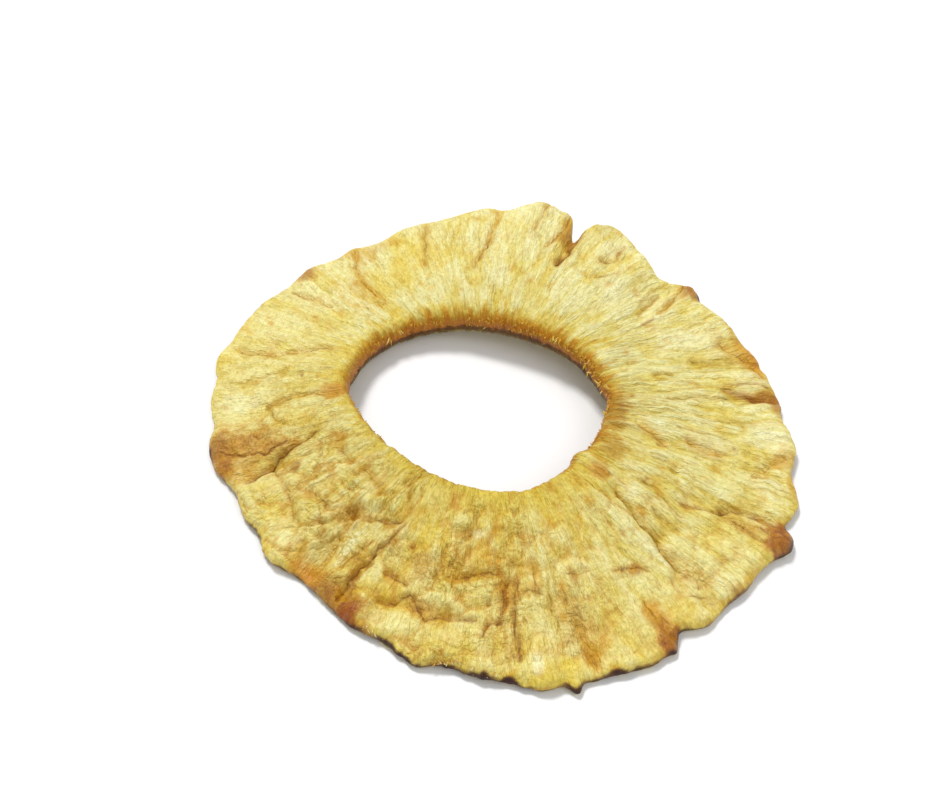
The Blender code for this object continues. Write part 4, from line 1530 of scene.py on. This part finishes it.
@dataclass
class Flesh:
    """The slice itself: one closed skin with its relief and tints."""

    form: SliceForm
    grid: SectionGrid
    rim_rag: float = 0.16 * MM
    wall_rag: float = 0.26 * MM
    rind_reach: float = 0.42 * MM
    pock_turn: float = 0.9
    under_relief: float = 0.8

    def build(self) -> bpy.types.Object:
        """Builds and dresses the skin.

        Returns:
            The finished piece.
        """
        angle, across, rise, upper = self.grid.layout()
        field = FleshField(self.form, angle, across, rise, upper)
        field.measure()
        points = self.points(field)
        piece = mesh_object("ring_flesh", points.reshape(-1, 3), self.grid.faces(across.shape[1]))
        grain = np.concatenate([field.outward, field.radius[..., None] + 0.5 * (~upper)[..., None]], axis=-1)
        set_attribute(piece.data, "tint", "FLOAT_COLOR", field.colour().reshape(-1, 3))
        for name, values in (("grain", grain), ("marks", field.marks()), ("crease", field.crease_sides())):
            set_attribute(piece.data, name, "FLOAT_VECTOR", values.reshape(-1, 3))
        piece.data.materials.append(DriedFlesh().build())
        return piece

    def points(self, field: FleshField) -> np.ndarray:
        """Positions of the skin.

        The height is the wall line plus the rise times the way to the top or to the underside. The walls are
        pushed in and out along the radius by noise, and rind scraps push the rim's lower half out.

        Args:
            field: the grid's places with their noise measured.

        Returns:
            An array (turns, loop, 3) in metres.
        """
        form, angle, across, rise = self.form, field.angle, field.across, field.rise
        fine = field.relief()
        low_smooth = form.underside(angle, across)
        coarse = form.pleats(angle, across) - form.folds(field.plan) + form.pads(field.plan)
        high = form.smooth_top(angle, across) + coarse + np.where(field.upper, fine, 0.0)
        low = np.where(field.upper, low_smooth, np.maximum(low_smooth + self.under_relief * fine, 0.0))
        wall = low + form.wall_share * (high - low)
        height = wall + np.where(field.upper, high - wall, low - wall) * rise
        steep = 1.0 - rise
        rag = field.grain(Grain(2.6, 40.0, 81)) + 0.6 * field.grain(Grain(1.1, 40.0, 82))
        push = steep * self.rim_rag * rag * (across > 0.5)
        pock = field.grain(Grain(3.2, 0.9, 83), angle + self.pock_turn * height / MM)
        push += steep * self.wall_rag * pock * np.where(across > 0.5, 1.0, -1.0)
        low_half = np.where(field.upper, smooth_step(steep, 0.55, 1.0), 1.0 * (across > 0.9))
        push += low_half * self.rind_reach * field.rind * (across > 0.5)
        plan = field.plan + push[..., None] * field.outward
        return np.concatenate([plan + np.array(form.middle), np.maximum(height, 0.0)[..., None]], axis=-1)

    def fit(self, piece: bpy.types.Object) -> None:
        """Ties the skin to the frame, in place of the plain solid.

        Args:
            piece: the skin.
        """
        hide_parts(NODE)
        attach(piece, "root")


@dataclass
class Strands:
    """Loose fibres as tapered tubes that stand in clumps on an edge, all in one mesh."""

    form: SliceForm
    name: str
    clumps: int
    each: int
    seed: int
    length: Pair
    thickness: float
    sectors: tuple[Triple, ...]
    tints: tuple[Tint, ...]
    lift: Pair = (0.45, 0.90)
    at_rim: bool = False
    clump_spread: float = 1.3
    rings: int = 6
    sides: int = 5

    @property
    def count(self) -> int:
        """How many strands there are in all."""
        return self.clumps * self.each

    def roots(self, draw: np.random.Generator) -> tuple[np.ndarray, np.ndarray]:
        """Where the strands start: some degrees round the middle of their clump, and at heights on the wall.

        Args:
            draw: the seeded source of random numbers.

        Returns:
            Their angles in degrees, and their root positions in metres.
        """
        centre, spread, weight = (np.array(column) for column in zip(*self.sectors))
        pick = draw.choice(len(self.sectors), self.clumps, p=weight / weight.sum())
        clump_angle = centre[pick] + spread[pick] * draw.uniform(-1.0, 1.0, self.clumps)
        clump_lift = draw.uniform(*self.lift, self.clumps)
        angle = np.repeat(clump_angle, self.each) + draw.normal(0.0, self.clump_spread, self.count)
        lift = np.clip(np.repeat(clump_lift, self.each) + draw.normal(0.0, 0.08, self.count), 0.1, 0.95)
        across = np.full(self.count, 1.0 if self.at_rim else 0.0)
        top = self.form.smooth_top(angle, across)
        low = self.form.underside(angle, across)
        sink = (0.15 + 1.1 * np.maximum(lift - 0.6, 0.0)) * MM
        radius = self.form.radius(angle, across) + np.where(self.at_rim, -sink, sink)
        turn = np.radians(angle)
        place = np.stack([radius * np.cos(turn) + self.form.middle[0], radius * np.sin(turn) + self.form.middle[1],
                          low + lift * (top - low)], axis=-1)
        return angle, place

    def build(self) -> bpy.types.Object:
        """Builds and dresses the strands.

        Each path is root + length * (t * direction + t^2 * curl), and its tube tapers from root to tip.

        Returns:
            The finished piece.
        """
        draw = np.random.default_rng(self.seed)
        angle, root = self.roots(draw)
        turn = np.radians(angle)
        outward = np.stack([np.cos(turn), np.sin(turn), 0.0 * turn], axis=-1) * (1.0 if self.at_rim else -1.0)
        sideways = np.stack([-np.sin(turn), np.cos(turn), 0.0 * turn], axis=-1)
        upward = np.array([0.0, 0.0, 1.0])
        lean = draw.normal(0.0, 0.35, (self.count, 1))
        climb = draw.uniform(-0.5, 0.35, (self.count, 1))
        direction = 0.8 * outward + lean * sideways + climb * upward
        curl = (draw.normal(0.0, 0.35, (self.count, 1)) * sideways - draw.uniform(0.0, 0.5, (self.count, 1)) * upward
                - 0.2 * outward)
        length = draw.uniform(*self.length, self.count)[:, None, None]
        t = np.linspace(0.0, 1.0, self.rings)[None, :, None]
        path = root[:, None] + length * (t * direction[:, None] + t ** 2 * curl[:, None])
        tangent = direction[:, None] + 2.0 * t * curl[:, None]
        tangent /= np.linalg.norm(tangent, axis=-1, keepdims=True)
        first = np.cross(tangent, upward + 0.01)
        first /= np.linalg.norm(first, axis=-1, keepdims=True)
        second = np.cross(tangent, first)
        spin = np.arange(self.sides) * math.tau / self.sides
        girth = self.thickness * draw.uniform(0.6, 1.3, self.count)[:, None, None] * (1.0 - 0.85 * t)
        circle = (np.cos(spin)[:, None] * first[:, :, None] + np.sin(spin)[:, None] * second[:, :, None])
        points = path[:, :, None] + girth[..., None] * circle
        points[..., 2] = np.maximum(points[..., 2], 0.05 * MM)
        piece = mesh_object(self.name, points.reshape(-1, 3), self.faces())
        tints = np.stack([tint.linear() for tint in self.tints])[draw.integers(len(self.tints), size=self.count)]
        root_tint = AMBER.linear()
        shade = root_tint + (tints[:, None] - root_tint) * smooth_step(t, 0.0, 0.9)
        shade = np.repeat(shade[:, :, None], self.sides, axis=2)
        set_attribute(piece.data, "tint", "FLOAT_COLOR", shade.reshape(-1, 3))
        piece.data.materials.append(StrandFinish().build())
        return piece

    def faces(self) -> np.ndarray:
        """Triangles of all the tubes, with both ends closed by fans.

        Returns:
            Vertex numbers, three for each face.
        """
        ring, side = np.meshgrid(np.arange(self.rings - 1), np.arange(self.sides), indexing="ij")
        after = (side + 1) % self.sides
        here, there = ring * self.sides, (ring + 1) * self.sides
        lower = np.stack([here + side, there + side, there + after], axis=-1).reshape(-1, 3)
        upper = np.stack([here + side, there + after, here + after], axis=-1).reshape(-1, 3)
        fan = np.stack([np.zeros(self.sides - 2, int), np.arange(1, self.sides - 1), np.arange(2, self.sides)], axis=-1)
        tube = np.vstack([lower, upper, fan, fan[:, ::-1] + (self.rings - 1) * self.sides])
        shift = np.arange(self.count)[:, None, None] * self.rings * self.sides
        return (tube[None] + shift).reshape(-1, 3)

    def fit(self, piece: bpy.types.Object) -> None:
        """Ties the strands to the frame."""
        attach(piece, "root")


@dataclass
class Studio:
    """Pale floor, soft light from above and the camera's view down on the slice."""

    elevation: float = 52.0
    distance: float = 320.0 * MM
    aim: Triple = (-4.76 * MM, 10.12 * MM, 0.0)
    lens: float = 75.98
    sensor: float = 36.0
    floor_size: float = 4.0
    floor_colour: Colour = (0.90, 0.90, 0.90, 1.0)
    floor_light: Colour = (0.92, 0.92, 0.92, 1.0)
    floor_drop: float = 0.02 * MM
    sky_strength: float = 0.56
    lamps: tuple[Lamp, ...] = (
        Lamp("key", (-0.34, 0.58, 1.26), 0.32, 13.6),
        Lamp("fill", (0.70, -0.60, 1.15), 0.90, 3.6),
    )

    def floor(self) -> None:
        """A wide matt floor under the slice, faintly uneven in tone."""
        half = self.floor_size / 2
        corners = np.array([[-half, -half, 0.0], [half, -half, 0.0], [half, half, 0.0], [-half, half, 0.0]])
        ground = mesh_object("floor", corners - np.array([0.0, 0.0, self.floor_drop]), np.array([[0, 1, 2, 3]]))
        material = bpy.data.materials.new("pale_floor")
        material.use_nodes = True
        desk = NodeDesk(material)
        where = desk.add("ShaderNodeTexCoord").outputs["Object"]
        noise = desk.add("ShaderNodeTexNoise", {"Vector": where, "Scale": 3.0}).outputs["Fac"]
        tone = desk.mixed(desk.ranged(noise, (0.3, 0.7), (0.0, 1.0)), self.floor_colour, self.floor_light, "MIX")
        desk.link(tone, desk.shader().inputs["Base Color"])
        desk.shader().inputs["Roughness"].default_value = 0.9
        desk.shader().inputs["Specular IOR Level"].default_value = 0.1
        ground.data.materials.append(material)

    def light(self, lamp: Lamp) -> None:
        """Hangs a square lamp so that it faces the slice.

        Args:
            lamp: the lamp's name, place, size and power.
        """
        data = bpy.data.lights.new(lamp.name, "AREA")
        data.size = lamp.size
        data.energy = lamp.power
        light = bpy.data.objects.new(lamp.name, data)
        light.location = lamp.place
        light.rotation_euler = (Vector(self.aim) - Vector(lamp.place)).to_track_quat("-Z", "Y").to_euler()
        bpy.context.scene.collection.objects.link(light)

    def sky(self) -> None:
        """Even white light from all round."""
        world = bpy.data.worlds.new("studio_sky")
        world.use_nodes = True
        background = world.node_tree.nodes["Background"]
        background.inputs["Color"].default_value = (1.0, 1.0, 1.0, 1.0)
        background.inputs["Strength"].default_value = self.sky_strength
        bpy.context.scene.world = world

    def camera(self) -> None:
        """Camera at the viewing angle: straight on from the near side, looking down."""
        tilt = math.radians(self.elevation)
        data = bpy.data.cameras.new("view")
        data.lens = self.lens
        data.sensor_width = self.sensor
        data.clip_start = 0.01
        camera = bpy.data.objects.new("view", data)
        camera.location = Vector(self.aim) + self.distance * Vector((0.0, -math.cos(tilt), math.sin(tilt)))
        camera.rotation_euler = Euler((math.pi / 2 - tilt, 0.0, 0.0))
        bpy.context.scene.collection.objects.link(camera)
        bpy.context.scene.camera = camera

    def build(self) -> None:
        """Sets up the floor, the lamps, the sky, the camera and the plain view transform."""
        self.floor()
        for lamp in self.lamps:
            self.light(lamp)
        self.sky()
        self.camera()
        bpy.context.scene.view_settings.view_transform = "Standard"


def main() -> None:
    """Builds the slice, its loose fibres and the studio round the frame."""
    logging.basicConfig(level=logging.INFO, format="%(message)s")
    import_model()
    form = SliceForm()
    flesh = Flesh(form, SectionGrid(form))
    skin = flesh.build()
    flesh.fit(skin)
    log.info("flesh: %d faces", len(skin.data.polygons))
    tufts = (
        Strands(form, "hole_fibres", clumps=110, each=4, seed=5, length=(0.30 * MM, 0.70 * MM), thickness=0.13 * MM,
                sectors=((35.0, 62.0, 6.0), (140.0, 50.0, 3.0), (-90.0, 80.0, 0.5)),
                tints=(GOLD, AMBER, AMBER, ORANGE), lift=(0.50, 0.90), clump_spread=2.6),
        Strands(form, "hole_curls", clumps=12, each=2, seed=15, length=(0.7 * MM, 1.5 * MM), thickness=0.19 * MM,
                sectors=((22.0, 30.0, 5.0), (95.0, 40.0, 1.0)),
                tints=(STRAW, GOLD), lift=(0.60, 0.92)),
        Strands(form, "rim_fibres", clumps=7, each=6, seed=9, length=(0.4 * MM, 1.0 * MM), thickness=0.20 * MM,
                sectors=((-88.0, 2.5, 5.0), (-104.0, 10.0, 1.0)),
                tints=(CREAM, STRAW, TAN), lift=(0.55, 0.9), at_rim=True),
    )
    for tuft in tufts:
        piece = tuft.build()
        tuft.fit(piece)
        log.info("%s: %d faces", tuft.name, len(piece.data.polygons))
    Studio().build()


if __name__ == "__main__":
    main()
